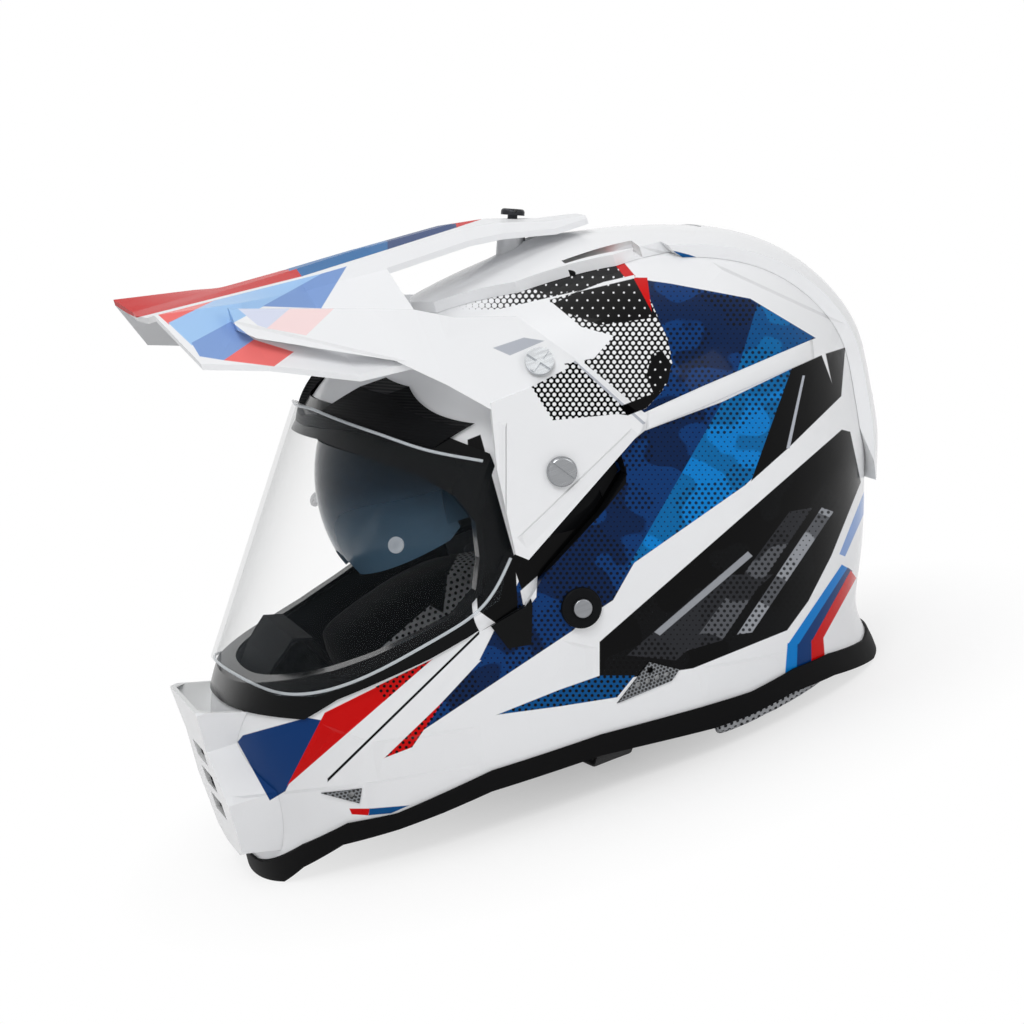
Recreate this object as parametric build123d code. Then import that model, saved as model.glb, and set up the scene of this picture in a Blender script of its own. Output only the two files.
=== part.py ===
from build123d import *

import os
from functools import lru_cache
from math import atan2, ceil, cos, hypot, pi, radians, sin, sqrt

# The helmet stands on its rim: +Z is up, the wearer looks along -Y and the wearer's left is +X.
# The origin lies on the table, straight below the axis of the face shield.

# Shell, in millimetres
reach = 190.0
height = 250.0
half_width = 125.0
shell_wall = 4.0
arc_steps = 10
# Each level: height, front reach, rear reach, half width, widest place, then the front fullness
level_shares = (
    (-0.040, 0.953, 0.789, 0.856, 0.116, 2.55),
    (0.080, 0.958, 0.800, 0.880, 0.126, 2.55),
    (0.180, 0.958, 0.842, 0.904, 0.147, 2.55),
    (0.300, 0.953, 0.905, 0.936, 0.179, 2.60),
    (0.376, 0.905, 0.937, 0.960, 0.200, 2.65),
    (0.420, 0.861, 0.958, 0.972, 0.211, 2.65),
    (0.540, 0.763, 0.984, 0.992, 0.232, 2.40),
    (0.660, 0.658, 0.989, 1.000, 0.247, 2.20),
    (0.760, 0.547, 0.937, 0.960, 0.253, 2.20),
    (0.840, 0.442, 0.853, 0.864, 0.253, 2.20),
    (0.904, 0.316, 0.726, 0.704, 0.253, 2.15),
    (0.948, 0.147, 0.568, 0.496, 0.253, 2.10),
    (0.976, -0.053, 0.421, 0.240, 0.253, 2.00),
)
crown_share = 0.05
rear_fullness = 2.10

# Clearances
soft_gap = 0.3
seat_gap = 0.15
running_gap = 0.05
slide_gap = 0.4
overrun = 40.0

# Side outlines: each point is a share of the reach and a share of the height
rim_shares = (
    (-1.3, 0.0), (-0.937, 0.0), (-0.884, 0.028), (-0.779, 0.060), (-0.642, 0.064),
    (-0.526, 0.072), (-0.395, 0.084), (-0.105, 0.080), (0.205, 0.048), (0.311, 0.044),
    (0.442, 0.048), (0.584, 0.034), (0.753, 0.0), (1.3, 0.0),
)
trim_top_shares = (
    (-1.3, 0.034), (-0.968, 0.034), (-0.868, 0.072), (-0.753, 0.100), (-0.632, 0.096),
    (-0.526, 0.108), (-0.379, 0.124), (-0.089, 0.120), (0.226, 0.096), (0.326, 0.088),
    (0.463, 0.092), (0.584, 0.080), (0.732, 0.048), (1.3, 0.048),
)
eye_port_shares = (
    (-1.3, 1.06), (-0.474, 0.812), (-0.405, 0.772), (-0.305, 0.716), (-0.242, 0.660),
    (-0.216, 0.600), (-0.237, 0.528), (-0.274, 0.468), (-0.347, 0.432), (-0.442, 0.416),
    (-0.563, 0.400), (-0.668, 0.392), (-1.3, 0.384),
)
gasket_shares = (
    (-1.3, 1.12), (-0.411, 0.856), (-0.253, 0.784), (-0.142, 0.712), (-0.137, 0.640),
    (-0.163, 0.520), (-0.163, 0.416), (-0.195, 0.340), (-0.253, 0.348), (-0.279, 0.404),
    (-0.442, 0.376), (-0.684, 0.348), (-0.774, 0.324), (-0.858, 0.344), (-1.0, 0.378),
    (-1.3, 0.390),
)
shield_top_shares = (
    (0.0, 0.716), (-0.074, 0.708), (-0.147, 0.700), (-0.274, 0.748), (-0.405, 0.824),
    (-0.466, 0.862), (-1.3, 0.896),
)
shield_low_shares = (
    (-1.3, 0.600), (-0.892, 0.424), (-0.816, 0.380), (-0.737, 0.368), (-0.632, 0.376),
    (-0.453, 0.408), (-0.300, 0.434), (-0.242, 0.448), (-0.221, 0.472), (-0.205, 0.508),
    (-0.105, 0.540), (0.0, 0.572),
)
pocket_shares = (
    (-0.379, 0.384), (-0.179, 0.416), (-0.105, 0.464), (0.079, 0.540), (0.163, 0.592),
    (0.163, 0.640), (0.116, 0.728), (0.032, 0.776), (-0.105, 0.808), (-0.379, 0.808),
)
base_shares = (
    (-0.168, 0.446), (-0.105, 0.472), (0.072, 0.548), (0.152, 0.598), (0.152, 0.640),
    (0.105, 0.716), (0.032, 0.756), (-0.042, 0.738), (-0.080, 0.640), (-0.120, 0.530),
)
pod_shares = (
    (-0.116, 0.812), (-0.153, 0.688), (-0.174, 0.524), (-0.147, 0.506), (0.223, 0.663),
    (0.246, 0.685), (0.126, 0.816),
)
liner_shares = (
    (-1.3, 1.1), (-1.3, 0.848), (-0.442, 0.848), (-0.316, 0.784), (-0.189, 0.688),
    (-0.105, 0.600), (-0.079, 0.444), (0.126, 0.432), (0.316, 0.290), (0.474, 0.220),
    (1.3, 0.220), (1.3, 1.1),
)
crown_pad_shares = ((-0.9, 1.1), (-0.237, 0.800), (-0.105, 0.700), (0.8, 0.560), (1.3, 0.560), (1.3, 1.1))
cheek_shares = (
    (-0.520, 0.352), (-0.326, 0.388), (-0.200, 0.400), (-0.053, 0.388), (0.132, 0.340),
    (0.180, 0.240), (0.150, 0.120), (0.000, 0.090), (-0.263, 0.096), (-0.470, 0.140),
    (-0.545, 0.240),
)
side_grille_shares = ((-0.026, 0.168), (0.083, 0.224), (0.153, 0.188), (0.126, 0.172))
chin_grille_shares = ((-0.789, 0.170), (-0.695, 0.162), (-0.711, 0.134))
spoiler_shares = (
    (0.420, 1.1), (0.540, 0.930), (0.680, 0.800), (0.860, 0.610), (0.900, 0.350),
    (1.3, 0.330), (1.3, 1.1),
)

# Face shield: an elliptical tube that leans back about its hinge
pivot_height = 161.0
shield_half_width = 123.0
shield_reach = 104.5
shield_wall = 2.2
shield_lean = 36.7
shield_span = 160.0
shield_wing = 26.0
ear_radius = 18.0
bush_radius = 8.0
lens_pin_radius = 4.0
lens_pin_length = 4.0
lens_pin_shares = (-0.427, 0.599)
ear_foot_shares = (0.8, 0.6)

# Pocket, base plate and side screws at the hinge
pocket_depth = 10.5
base_wall = 2.2
base_corner = 2.0
screw_radius = 4.0
screw_head_radius = 7.25
screw_head_height = 3.2
slot_width = 1.6
head_turn = 35.0

# Black frame round the eye port, and the brow duct
flange_wall = 1.2
lip_width = 2.6
lip_depth = 3.0
duct_height = 6.5
duct_shares = (
    (0.0, 0.836), (0.20, 0.842), (0.46, 0.884), (0.60, 0.862), (0.76, 0.806), (0.86, 0.772),
    (0.80, 0.748), (0.66, 0.770), (0.46, 0.808), (0.20, 0.822), (0.0, 0.822),
)

# Foam, pads and guard
foam_wall = 26.0
chin_foam_wall = 20.0
pad_wall = 9.0
trim_lip = 1.6
chin_foam_shares = ((-1.3, 0.060), (-0.640, 0.080), (-0.560, 0.200), (-0.600, 0.355), (-1.3, 0.355))
cheek_inner_share = 0.50
cheek_outer_share = 0.92
# Each slice of a cheek pad: how far out it lies between its faces, and how large it is
cheek_slice_shares = ((0.0, 0.62), (0.08, 0.82), (0.32, 0.97), (0.65, 1.0), (0.92, 0.94), (1.0, 0.84))
roll_width = 18.0
roll_height = 30.0
roll_level = 17.0
roll_start_share = 0.21
guard_wall = 2.0
guard_half_width = 42.0
guard_shares = (
    (-0.868, 0.3645), (-0.832, 0.3645), (-0.775, 0.412), (-0.711, 0.450), (-0.660, 0.438),
    (-0.626, 0.366),
)
guard_corner_share = 0.7

# Drop-down sun lens, revolved about its own hinge
lens_hinge_shares = (-0.090, 0.610)
lens_radius = 78.5
lens_half_width = 92.0
lens_wall = 1.8
lens_edge = 85.0
lens_ear_radius = 8.0
lens_start = 149.0
lens_sweep = 55.0
lens_stow = 50.0
lens_spare = 14.0
lens_side_share = 0.38
# Each corner of the arms: its angle from +Y, and its distance from the hinge as a share
lens_arm_shares = ((158, 0.44), (188, 0.44), (225, 0.10), (120, 0.10))
lens_room = 4.0
lens_pin_shank = 3.0
lens_low_shares = (
    (-0.60, 0.490), (-0.505, 0.498), (-0.274, 0.556), (-0.150, 0.640), (-0.09, 0.66),
    (-0.09, 0.95), (-0.60, 0.95),
)
nose_radius = 21.0
nose_level_share = 0.470

# Knob that works the sun lens, on the lower edge of the wearer's right side
knob_place_shares = (-0.30, 0.215)
knob_turn = 5.5
knob_travel = 20.0
knob_length = 15.0
knob_width = 9.0
knob_height = 4.5
track_wall = 2.4
track_seat_share = 0.75
track_margin = 4.0
stem_width = 3.6
groove_width = 1.0
foot_width_share = 0.8

# Peak
peak_wall = 3.0
blade_wall = 3.6
pod_stand_off = 1.0
# Each rib of the roof: place, then centre, ridge, foot and edge as heights and half widths
roof_shares = (
    (-0.805, 1.134, 0.216, 1.133, 0.610, 1.152, 0.760, 1.062),
    (-0.584, 1.124, 0.240, 1.122, 0.560, 1.118, 0.752, 1.000),
    (-0.389, 1.118, 0.264, 1.112, 0.304, 1.086, 0.864, 0.932),
    (-0.263, 1.116, 0.264, 1.108, 0.304, 1.080, 0.896, 0.924),
    (-0.170, 1.114, 0.260, 1.105, 0.304, 1.074, 0.924, 0.900),
)
tongue_shares = (
    (-0.200, 1.114, 0.260, 1.106, 0.304, 1.076),
    (0.063, 1.102, 0.224, 1.096, 0.256, 1.072),
    (0.158, 1.090, 0.200, 1.084, 0.228, 1.062),
    (0.305, 1.054, 0.160, 1.050, 0.184, 1.034),
    (0.405, 1.038, 0.120, 1.036, 0.132, 1.030),
)
# Each rib of a side blade: place, its lower and upper edge as half width and height, and its root in walls
blade_shares = (
    (-0.624, 0.690, 1.090, 0.640, 1.120, 4.0),
    (-0.588, 0.715, 1.066, 0.655, 1.110, 4.0),
    (-0.426, 0.800, 1.002, 0.700, 1.070, 4.0),
    (-0.295, 0.880, 0.950, 0.750, 1.037, 3.0),
    (-0.200, 0.944, 0.880, 0.800, 1.012, 1.0),
    (-0.116, 1.000, 0.808, 0.840, 0.976, 1.0),
    (0.032, 1.000, 0.808, 0.872, 0.940, 1.0),
    (0.126, 1.000, 0.808, 0.990, 0.832, 1.0),
)
peak_front_shares = (
    (0.0, -0.800), (0.216, -0.790), (0.610, -0.800), (0.760, -0.740), (1.1, -0.30),
    (1.1, 0.6), (0.0, 0.6),
)
wing_place_share = 0.037
wing_height_share = 0.32
wing_shank = 2.5
wing_head_radius = 6.8
wing_head_height = 2.0
wing_rib_height = 3.6
wing_rib_width = 2.0
boss_radius = 7.0
boss_depth = 18.0
boss_gap = 2.6
tongue_screw_share = 0.232
tongue_screw_height_share = 1.072
tongue_head_radius = 6.0
tilt_limit = 2.0

# Chin vent cover, its shutter, the grilles and the mouldings on the crown
cover_wall = 2.2
cover_front_shares = (
    (0.20, 0.400), (0.36, 0.372), (0.27, 0.288), (0.39, 0.185), (0.31, 0.075), (0.16, 0.055),
)
cover_base_shares = (
    (0.24, 0.420), (0.46, 0.392), (0.35, 0.290), (0.47, 0.185), (0.41, 0.050), (0.20, 0.040),
)
cover_face_share = 1.012
cover_back_share = 0.830
louvre_height = 9.0
louvre_half_width = 17.0
louvre_shares = (0.262, 0.204, 0.146)
shutter_wall = 1.6
shutter_half_width = 22.0
shutter_height = 34.0
shutter_travel = 5.0
grille_wall = 1.4
grille_hole = 1.5
grille_pitch = 5.0
crown_wall = 5.5
crown_plan_shares = (
    (0.0, -0.10), (0.22, -0.07), (0.44, 0.12), (0.50, 0.38), (0.40, 0.62), (0.12, 0.70), (0.0, 0.70),
)
scoop_radius = 7.0
scoop_length = 38.0
scoop_place_shares = (0.42, 0.36, 0.955)
spoiler_wall = 6.0
spoiler_half_share = 0.50
outlet_place_shares = (0.30, 0.95, 0.56)
outlet_size_shares = (0.16, 0.20, 0.10)

# Chin strap and its fixing
rivet_shares = (-0.047, 0.376)
rivet_shank = 2.5
rivet_head_radius = 4.6
rivet_head_height = 2.2
washer_radius = 10.0
washer_height = 2.4
anchor_wall = 1.6
anchor_width = 24.0
anchor_height = 34.0
anchor_drop_share = 0.70
strap_width = 20.0
strap_wall = 1.5
strap_route_shares = (
    (0.860, 0.350), (0.850, 0.240), (0.820, 0.128), (0.760, 0.064), (0.640, 0.030),
)
strap_bend = 6.0
ring_wall = 3.0
ring_length = 17.0
ring_width = 28.0
ring_bar = 3.4
ring_corner = 3.0
ring_level = 8.2
ring_place = 22.0
loop_height = 4.4
strap_tail = 50.0


def scaled(pairs, across=reach, up=height):
    """Turns pairs of shares into millimetres."""
    return [(first * across, second * up) for first, second in pairs]


def side_prism(pairs, start, end, rounding=0):
    """A side outline pushed through along X between two places."""
    face = make_face(Polyline(*pairs, close=True))
    if rounding:
        face = fillet(face.vertices(), rounding)
    return extrude(Plane.YZ.offset(start) * face, end - start)


def through_prism(pairs):
    """A side outline that passes through the whole helmet."""
    return side_prism(pairs, -half_width - overrun, half_width + overrun)


def both_sides(piece):
    """The piece and its mirror image across the plane of symmetry."""
    return piece + mirror(piece, Plane.YZ)


def moved_profile(pairs, offset):
    """An upright profile of heights and reaches, moved outwards square to itself."""
    moved = []
    for place, (up, out) in enumerate(pairs[:-1]):
        below = pairs[max(place - 1, 0)]
        above = pairs[place + 1]
        slope = (above[1] - below[1]) / (above[0] - below[0])
        size = hypot(1, slope)
        moved.append((up - offset * slope / size, out + offset / size))
    moved.append((pairs[-1][0] + offset, pairs[-1][1]))
    return moved


def read_profile(pairs, up):
    """The reach of a profile at a height, clamped to its ends."""
    if up <= pairs[0][0]:
        return pairs[0][1]
    for low, high in zip(pairs, pairs[1:]):
        if low[0] <= up <= high[0]:
            return low[1] + (high[1] - low[1]) * (up - low[0]) / (high[0] - low[0])
    return pairs[-1][1]


@lru_cache(maxsize=None)
def offset_levels(offset):
    """The level table in millimetres, moved outwards by the offset."""
    cap = crown_share * half_width
    crown_y = level_shares[-1][4] * reach
    fronts = [(up * height, front * reach) for up, front, *rest in level_shares]
    rears = [(row[0] * height, row[2] * reach) for row in level_shares]
    halves = [(row[0] * height, row[3] * half_width) for row in level_shares]
    fronts = moved_profile(fronts + [(height, cap - crown_y)], offset)
    rears = moved_profile(rears + [(height, crown_y + cap)], offset)
    halves = moved_profile(halves + [(height, cap)], offset)
    levels = []
    for row, (up, half) in zip(level_shares + (level_shares[-1],), halves):
        front = -read_profile(fronts, up)
        rear = read_profile(rears, up)
        levels.append((up, front, rear, half, row[4] * reach, row[5]))
    return levels


def egg_ring(level):
    """One horizontal section of the shell, from two half rings."""
    up, front, rear, half, widest, fullness = level

    def half_ring(extent, power, side):
        points = []
        for step in range(arc_steps + 1):
            angle = pi * step / arc_steps
            across = abs(cos(angle)) ** (2 / power)
            across = across if angle < pi / 2 else -across
            along = abs(sin(angle)) ** (2 / power)
            points.append((half * across, widest + side * extent * along))
        return Spline(*points, tangents=((0, side), (0, -side)))

    rear_half = half_ring(rear - widest, rear_fullness, 1)
    front_half = half_ring(widest - front, fullness, -1)
    return Plane.XY.offset(up) * make_face(rear_half + front_half)


@lru_cache(maxsize=None)
def skin(offset):
    """The solid that the shell's outer surface bounds, moved outwards by the offset."""
    return loft([egg_ring(level) for level in offset_levels(offset)])


def band(high, low, cutter):
    """The part of the layer between two offsets of the shell that lies inside a cutter."""
    return (cutter & skin(high)) - skin(low)


@lru_cache(maxsize=None)
def pocket_block(margin):
    """What the hinge pockets take away from the shell, grown by a margin."""
    floor = half_width - pocket_depth - margin
    pairs = scaled(pocket_shares)
    face = make_face(Polyline(*pairs, close=True))
    if margin:
        face = offset(face, margin)
    block = extrude(Plane.YZ.offset(floor) * face, pocket_depth + margin + overrun)
    return both_sides(block)


@lru_cache(maxsize=None)
def room(margin):
    """The space inside the shell wall, drawn in by a margin."""
    return skin(-shell_wall - margin) - pocket_block(shell_wall + margin)


def above_line(pairs, lift=0):
    """Everything above a side line."""
    top = 2 * height
    points = [(y, z + lift) for y, z in pairs]
    return through_prism(points + [(points[-1][0], top), (points[0][0], top)])


def pin_x(radius, start, end, y, z):
    """A round pin along X."""
    turned = Plane(origin=(start, y, z), x_dir=(0, 1, 0), z_dir=(1, 0, 0))
    return extrude(turned * Circle(radius), end - start)


def skin_half_width(z_place, y_place):
    """How far out the shell's outer surface lies at a height and a place along Y."""
    levels = offset_levels(0)
    for low, high in zip(levels, levels[1:]):
        if low[0] <= z_place <= high[0]:
            part = (z_place - low[0]) / (high[0] - low[0])
            row = [a + (b - a) * part for a, b in zip(low, high)]
    front_side = y_place < row[4]
    extent = row[4] - row[1] if front_side else row[2] - row[4]
    power = row[5] if front_side else rear_fullness
    ratio = abs(y_place - row[4]) / extent
    return row[3] * (1 - ratio**power) ** (1 / power)


def knob_plane():
    """The plane of the lens knob's track, on the wearer's right."""
    y_place = knob_place_shares[0] * reach
    z_place = knob_place_shares[1] * height
    x_place = -skin_half_width(z_place, y_place)
    turn = radians(knob_turn)
    return Plane(
        origin=(x_place, y_place, z_place),
        x_dir=(-sin(turn), cos(turn), 0),
        z_dir=(-cos(turn), -sin(turn), 0),
    )


def knob_block(length, width, low, high):
    """A block on the knob's plane, between two heights above it."""
    return knob_plane() * Pos(0, 0, low) * extrude(Rectangle(length, width), high - low)


def track_length():
    return knob_length + knob_travel + 2 * track_margin


def wing_plane():
    """The plane of the blade's side facet at the wing screw."""
    low = [blade_shares[-2][1] * pod_outer(), blade_shares[-2][2] * height]
    high = [blade_shares[-2][3] * pod_outer(), blade_shares[-2][4] * height]
    x_place = low[0] + (high[0] - low[0]) * wing_height_share
    z_place = low[1] + (high[1] - low[1]) * wing_height_share
    lean = atan2(low[0] - high[0], high[1] - low[1])
    normal = (cos(lean), 0, sin(lean))
    return Plane(origin=(x_place, wing_place_share * reach, z_place), x_dir=(0, 1, 0), z_dir=normal)


def tongue_plane():
    """The plane square to the line from the hinge to the top screw."""
    y_place = tongue_screw_share * reach
    z_place = tongue_screw_height_share * height
    normal = (0, y_place, z_place - pivot_height)
    return Plane(origin=(0, y_place, z_place), x_dir=(0, normal[2], -normal[1]), z_dir=normal)


def pod_inner():
    return half_width + pod_stand_off


def pod_outer():
    return pod_inner() + peak_wall


def boss(plane, gap):
    """A moulded boss that stands on the shell under a peak screw."""
    bottom = -blade_wall - gap - boss_depth
    return plane * Pos(0, 0, bottom) * extrude(Circle(boss_radius), boss_depth)


def screw_bore(plane, gap):
    """The blind bore of a boss, as deep as the boss less the shell wall."""
    depth = blade_wall + gap + boss_depth
    return plane * Pos(0, 0, -depth) * extrude(Circle(wing_shank + running_gap), depth)


def grille_recess(pairs):
    """The shallow seat of a side grille, on both sides."""
    face = offset(make_face(Polyline(*pairs, close=True)), seat_gap)
    block = extrude(Plane.YZ.offset(half_width / 4) * face, half_width)
    return both_sides(band(grille_wall, -grille_wall, block))


def vent_hole():
    """The air hole through the chin bar, behind the shutter."""
    middle = louvre_shares[1] * height
    size = shutter_height - 2 * shutter_travel
    return Pos(0, -reach, middle) * Box(2 * louvre_half_width, reach / 3, size)


def lip_zone():
    """The room that the edge trim's inner lip takes, which foam and pads leave free."""
    below = [(y, z + soft_gap) for y, z in scaled(trim_top_shares)]
    below += [(below[-1][0], -height), (below[0][0], -height)]
    return through_prism(below) - skin(-shell_wall - trim_lip - soft_gap)


def outer_shell():
    """The moulded shell with its chin bar, eye port, hinge pockets and screw bosses."""
    body = skin(0) - pocket_block(0)
    body += both_sides(boss(wing_plane(), boss_gap)) + boss(tongue_plane(), boss_gap)
    body -= room(0)
    body &= above_line(scaled(rim_shares), flange_wall + trim_lip)
    body -= through_prism(scaled(eye_port_shares))
    body -= hinge_holes(screw_radius + running_gap)
    body -= rivet_holes(rivet_shank + running_gap)
    body -= both_sides(screw_bore(wing_plane(), boss_gap)) + screw_bore(tongue_plane(), boss_gap)
    body -= grille_recess(scaled(side_grille_shares))
    body -= grille_recess(scaled(chin_grille_shares))
    body -= vent_hole()
    body -= knob_block(track_length() + 2 * seat_gap, track_width() + 2 * seat_gap, -track_seat(), overrun)
    body -= knob_block(knob_travel + 2 * stem_width, stem_width + 2 * slide_gap, -3 * shell_wall, overrun)
    return body


def track_width():
    return knob_width + track_margin


def track_seat():
    return track_wall * track_seat_share


def hinge_holes(radius):
    return both_sides(pin_x(radius, half_width / 2, half_width + overrun, 0, pivot_height))


def rivet_holes(radius):
    y_place, z_place = scaled([rivet_shares])[0]
    return both_sides(pin_x(radius, half_width / 2, half_width + overrun, y_place, z_place))


def lens_axis_place():
    return scaled([lens_hinge_shares])[0]


def lens_plane(angle):
    """A plane through the sun lens hinge; its second axis points along the angle from +Y."""
    y_place, z_place = lens_axis_place()
    turn = radians(angle)
    return Plane(origin=(0, y_place, z_place), x_dir=(1, 0, 0), z_dir=(0, -sin(turn), cos(turn)))


def lens_pocket():
    """The room that the sun lens sweeps between the shell and the foam."""
    wide = 2 * half_width
    away = Pos(0, half_width) * Rectangle(wide, wide)
    inner = lens_pivot_face() - lens_wall - slide_gap
    kept = Ellipse(lens_half_width - lens_room, lens_radius - lens_room)
    kept &= Rectangle(2 * inner, 2 * lens_radius)
    start = lens_start - lens_stow - lens_spare
    arc = lens_sweep + lens_stow + 2 * lens_spare
    y_place, z_place = lens_axis_place()
    axis = Axis((0, y_place, z_place), (1, 0, 0))
    swept = revolve(lens_plane(start) * (away - kept), axis, revolution_arc=arc)
    ears = pin_x(lens_ear_radius + slide_gap, inner, half_width, y_place, z_place)
    return swept + both_sides(ears)


def lens_pivot_face():
    """Where the inner heads of the lens pivots start."""
    return lens_edge - 2 * lens_wall - slide_gap


def impact_liner():
    """The foam that takes up a blow, from brow to nape."""
    body = room(soft_gap) - skin(-shell_wall - soft_gap - foam_wall)
    body &= through_prism(scaled(liner_shares))
    return body - lens_pocket()


def crown_pad():
    """The mesh-faced comfort pad inside the foam."""
    outer = shell_wall + 2 * soft_gap + foam_wall
    body = band(-outer, -outer - pad_wall, through_prism(scaled(crown_pad_shares)))
    return body - lens_pocket()


def chin_liner():
    """The foam behind the chin bar, below the eye port."""
    body = room(soft_gap) - skin(-shell_wall - soft_gap - chin_foam_wall)
    body &= through_prism(scaled(chin_foam_shares))
    tunnel = Pos(0, -reach, louvre_shares[1] * height)
    size = shutter_height - 2 * shutter_travel
    return body - lip_zone() - tunnel * Box(2 * louvre_half_width, reach / 2, size)


def strap_channel():
    """The way of the strap between a cheek pad and the shell."""
    route = scaled(strap_route_shares, half_width, height)
    points = [(x - 2 * strap_wall, z) for x, z in route]
    points.insert(0, (points[0][0], rivet_shares[1] * height + anchor_height / 2))
    points += [(half_width + overrun, points[-1][1]), (half_width + overrun, points[0][1])]
    wide = strap_width + 4 * strap_wall
    y_place = rivet_shares[0] * reach
    return front_prism(points, y_place - wide / 2, y_place + wide / 2)


def cheek_pad(side):
    """A cheek pad with a crowned face and drawn-in edges."""
    pairs = scaled(cheek_shares)
    centre_y = sum(y for y, z in pairs) / len(pairs)
    centre_z = sum(z for y, z in pairs) / len(pairs)
    inner = cheek_inner_share * half_width
    depth = cheek_outer_share * half_width - inner
    slices = []
    for place_share, size_share in cheek_slice_shares:
        points = [
            (centre_y + (y - centre_y) * size_share, centre_z + (z - centre_z) * size_share)
            for y, z in pairs
        ]
        outline = make_face(Spline(*points, periodic=True))
        slices.append(Plane.YZ.offset(inner + depth * place_share) * outline)
    body = loft(slices) - strap_channel()
    if side < 0:
        deep = track_seat() + 3 * shell_wall
        body = mirror(body, Plane.YZ) - knob_block(track_length(), track_width(), -deep, overrun)
    return (body & room(soft_gap)) - lip_zone()


def neck_roll():
    """The stuffed roll round the nape, inside the rim."""
    inset = trim_lip + soft_gap + roll_width / 2
    level = offset_levels(-shell_wall - inset)[1]
    start_y = roll_start_share * reach
    steps = 2 * arc_steps
    points = []
    for step in range(steps + 1):
        angle = pi * step / steps
        x_place = level[3] * cos(angle)
        y_place = start_y + (level[2] - start_y) * sin(angle)
        points.append((x_place, y_place, roll_level))
    path = Spline(*points[:: arc_steps // 5], tangents=((0, 1, 0), (0, -1, 0)))
    section = Plane(origin=points[0], x_dir=(1, 0, 0), z_dir=(0, 1, 0)) * Ellipse(
        roll_width / 2, roll_height / 2
    )
    return sweep(section, path) & skin(-shell_wall - trim_lip - soft_gap)


def rim_trim():
    """The rubber channel on the shell's lower edge."""
    body = skin(trim_lip) - skin(-shell_wall - trim_lip)
    body &= above_line(scaled(rim_shares))
    body -= above_line(scaled(trim_top_shares))
    wall = skin(seat_gap) - skin(-shell_wall - seat_gap)
    return body - (wall & above_line(scaled(rim_shares), flange_wall + trim_lip - seat_gap))


def eyeport_gasket():
    """The black frame round the eye port: a flange on the shell and a lip round its edge."""
    port = scaled(eye_port_shares)
    flange = skin(seat_gap + flange_wall) - skin(seat_gap)
    flange &= through_prism(scaled(gasket_shares))
    flange -= pocket_block(0)
    lip = skin(seat_gap + flange_wall) - skin(-shell_wall - lip_depth)
    inner = make_face(Polyline(*port, close=True))
    lip &= extrude(Plane.YZ.offset(-half_width) * offset(inner, -seat_gap), 2 * half_width)
    hole = offset(inner, -seat_gap - lip_width)
    through = extrude(Plane.YZ.offset(-half_width) * hole, 2 * half_width)
    outside = Rectangle(4 * half_width, 4 * half_width) - shield_section(shield_wall + slide_gap)
    outside = extrude(shield_plane() * outside, shield_span, both=True)
    return (flange + lip) - through - (outside & through_prism(shield_outline()))


def front_prism(pairs, front, back):
    """A front outline pushed through along Y between two places."""
    face = make_face(Polyline(*pairs, close=True))
    return extrude(Plane.XZ.offset(-back) * face, back - front)


def full_outline(half_pairs):
    """Closes a right-hand half outline with its mirror image."""
    left = [(-x, z) for x, z in reversed(half_pairs) if x]
    return list(half_pairs) + left


def brow_duct():
    """The two-humped black duct above the eye port."""
    pairs = full_outline(scaled(duct_shares, half_width, height))
    clear = 2 * seat_gap + flange_wall
    cutter = front_prism(pairs, -reach, 0) & shield_room(slide_gap)
    return band(clear + duct_height, clear, cutter)


def shield_room(gap):
    """The space that the shield turns round, less a gap."""
    margin = shield_wall + gap
    half = Ellipse(shield_half_width - margin, shield_reach - margin)
    half &= Pos(0, shield_reach) * Rectangle(2 * shield_half_width, 2 * shield_reach)
    plane = Plane(origin=(0, 0, pivot_height), x_dir=(1, 0, 0), z_dir=(0, 0, 1))
    return revolve(plane * half, Axis((0, 0, pivot_height), (1, 0, 0)))


def shield_plane():
    lean = radians(shield_lean)
    return Plane(origin=(0, 0, pivot_height), x_dir=(1, 0, 0), z_dir=(0, sin(lean), cos(lean)))


def shield_section(shrink):
    """Half an ellipse with two straight wings, drawn in by the shrink."""
    half = shield_half_width - shrink
    deep = shield_reach - shrink
    bow = EllipticalCenterArc((0, 0), half, deep, start_angle=180, arc_size=180)
    wings = Polyline((half, 0), (half, shield_wing), (-half, shield_wing), (-half, 0))
    return make_face(bow + wings)


def shield_outline():
    """The side outline of the shield, without its ears."""
    low = scaled(shield_low_shares)
    low.append((ear_radius * ear_foot_shares[0], pivot_height - ear_radius * ear_foot_shares[1]))
    return scaled(shield_top_shares) + low


def face_shield():
    """The clear shield with its two round ears."""
    wall = shield_section(0) - shield_section(shield_wall)
    wall -= Pos(0, shield_wing) * Rectangle(2 * (shield_half_width - shield_wall), 2 * shield_wall)
    tube = shield_plane() * wall
    body = extrude(tube, shield_span, both=True)
    edge = through_prism(shield_outline())
    edge += pin_x(ear_radius, -half_width - overrun, half_width + overrun, 0, pivot_height)
    body &= edge
    return body - hinge_holes(bush_radius + running_gap) - lens_pin_holes()


def lens_pin_frame(side):
    """A plane on the shield at one of its lens pins."""
    y_place, z_place = scaled([lens_pin_shares])[0]
    lean = radians(shield_lean)
    depth = -y_place * cos(lean) + (z_place - pivot_height) * sin(lean)
    along = y_place * sin(lean) + (z_place - pivot_height) * cos(lean)
    ratio = depth / shield_reach
    across = shield_half_width * sqrt(1 - ratio**2)
    normal_x = across / shield_half_width**2
    normal_d = depth / shield_reach**2
    size = hypot(normal_x, normal_d)
    out = (side * normal_x / size, -normal_d / size * cos(lean), normal_d / size * sin(lean))
    origin = (
        side * across,
        -depth * cos(lean) + along * sin(lean),
        pivot_height + depth * sin(lean) + along * cos(lean),
    )
    return Plane(origin=origin, z_dir=out)


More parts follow.
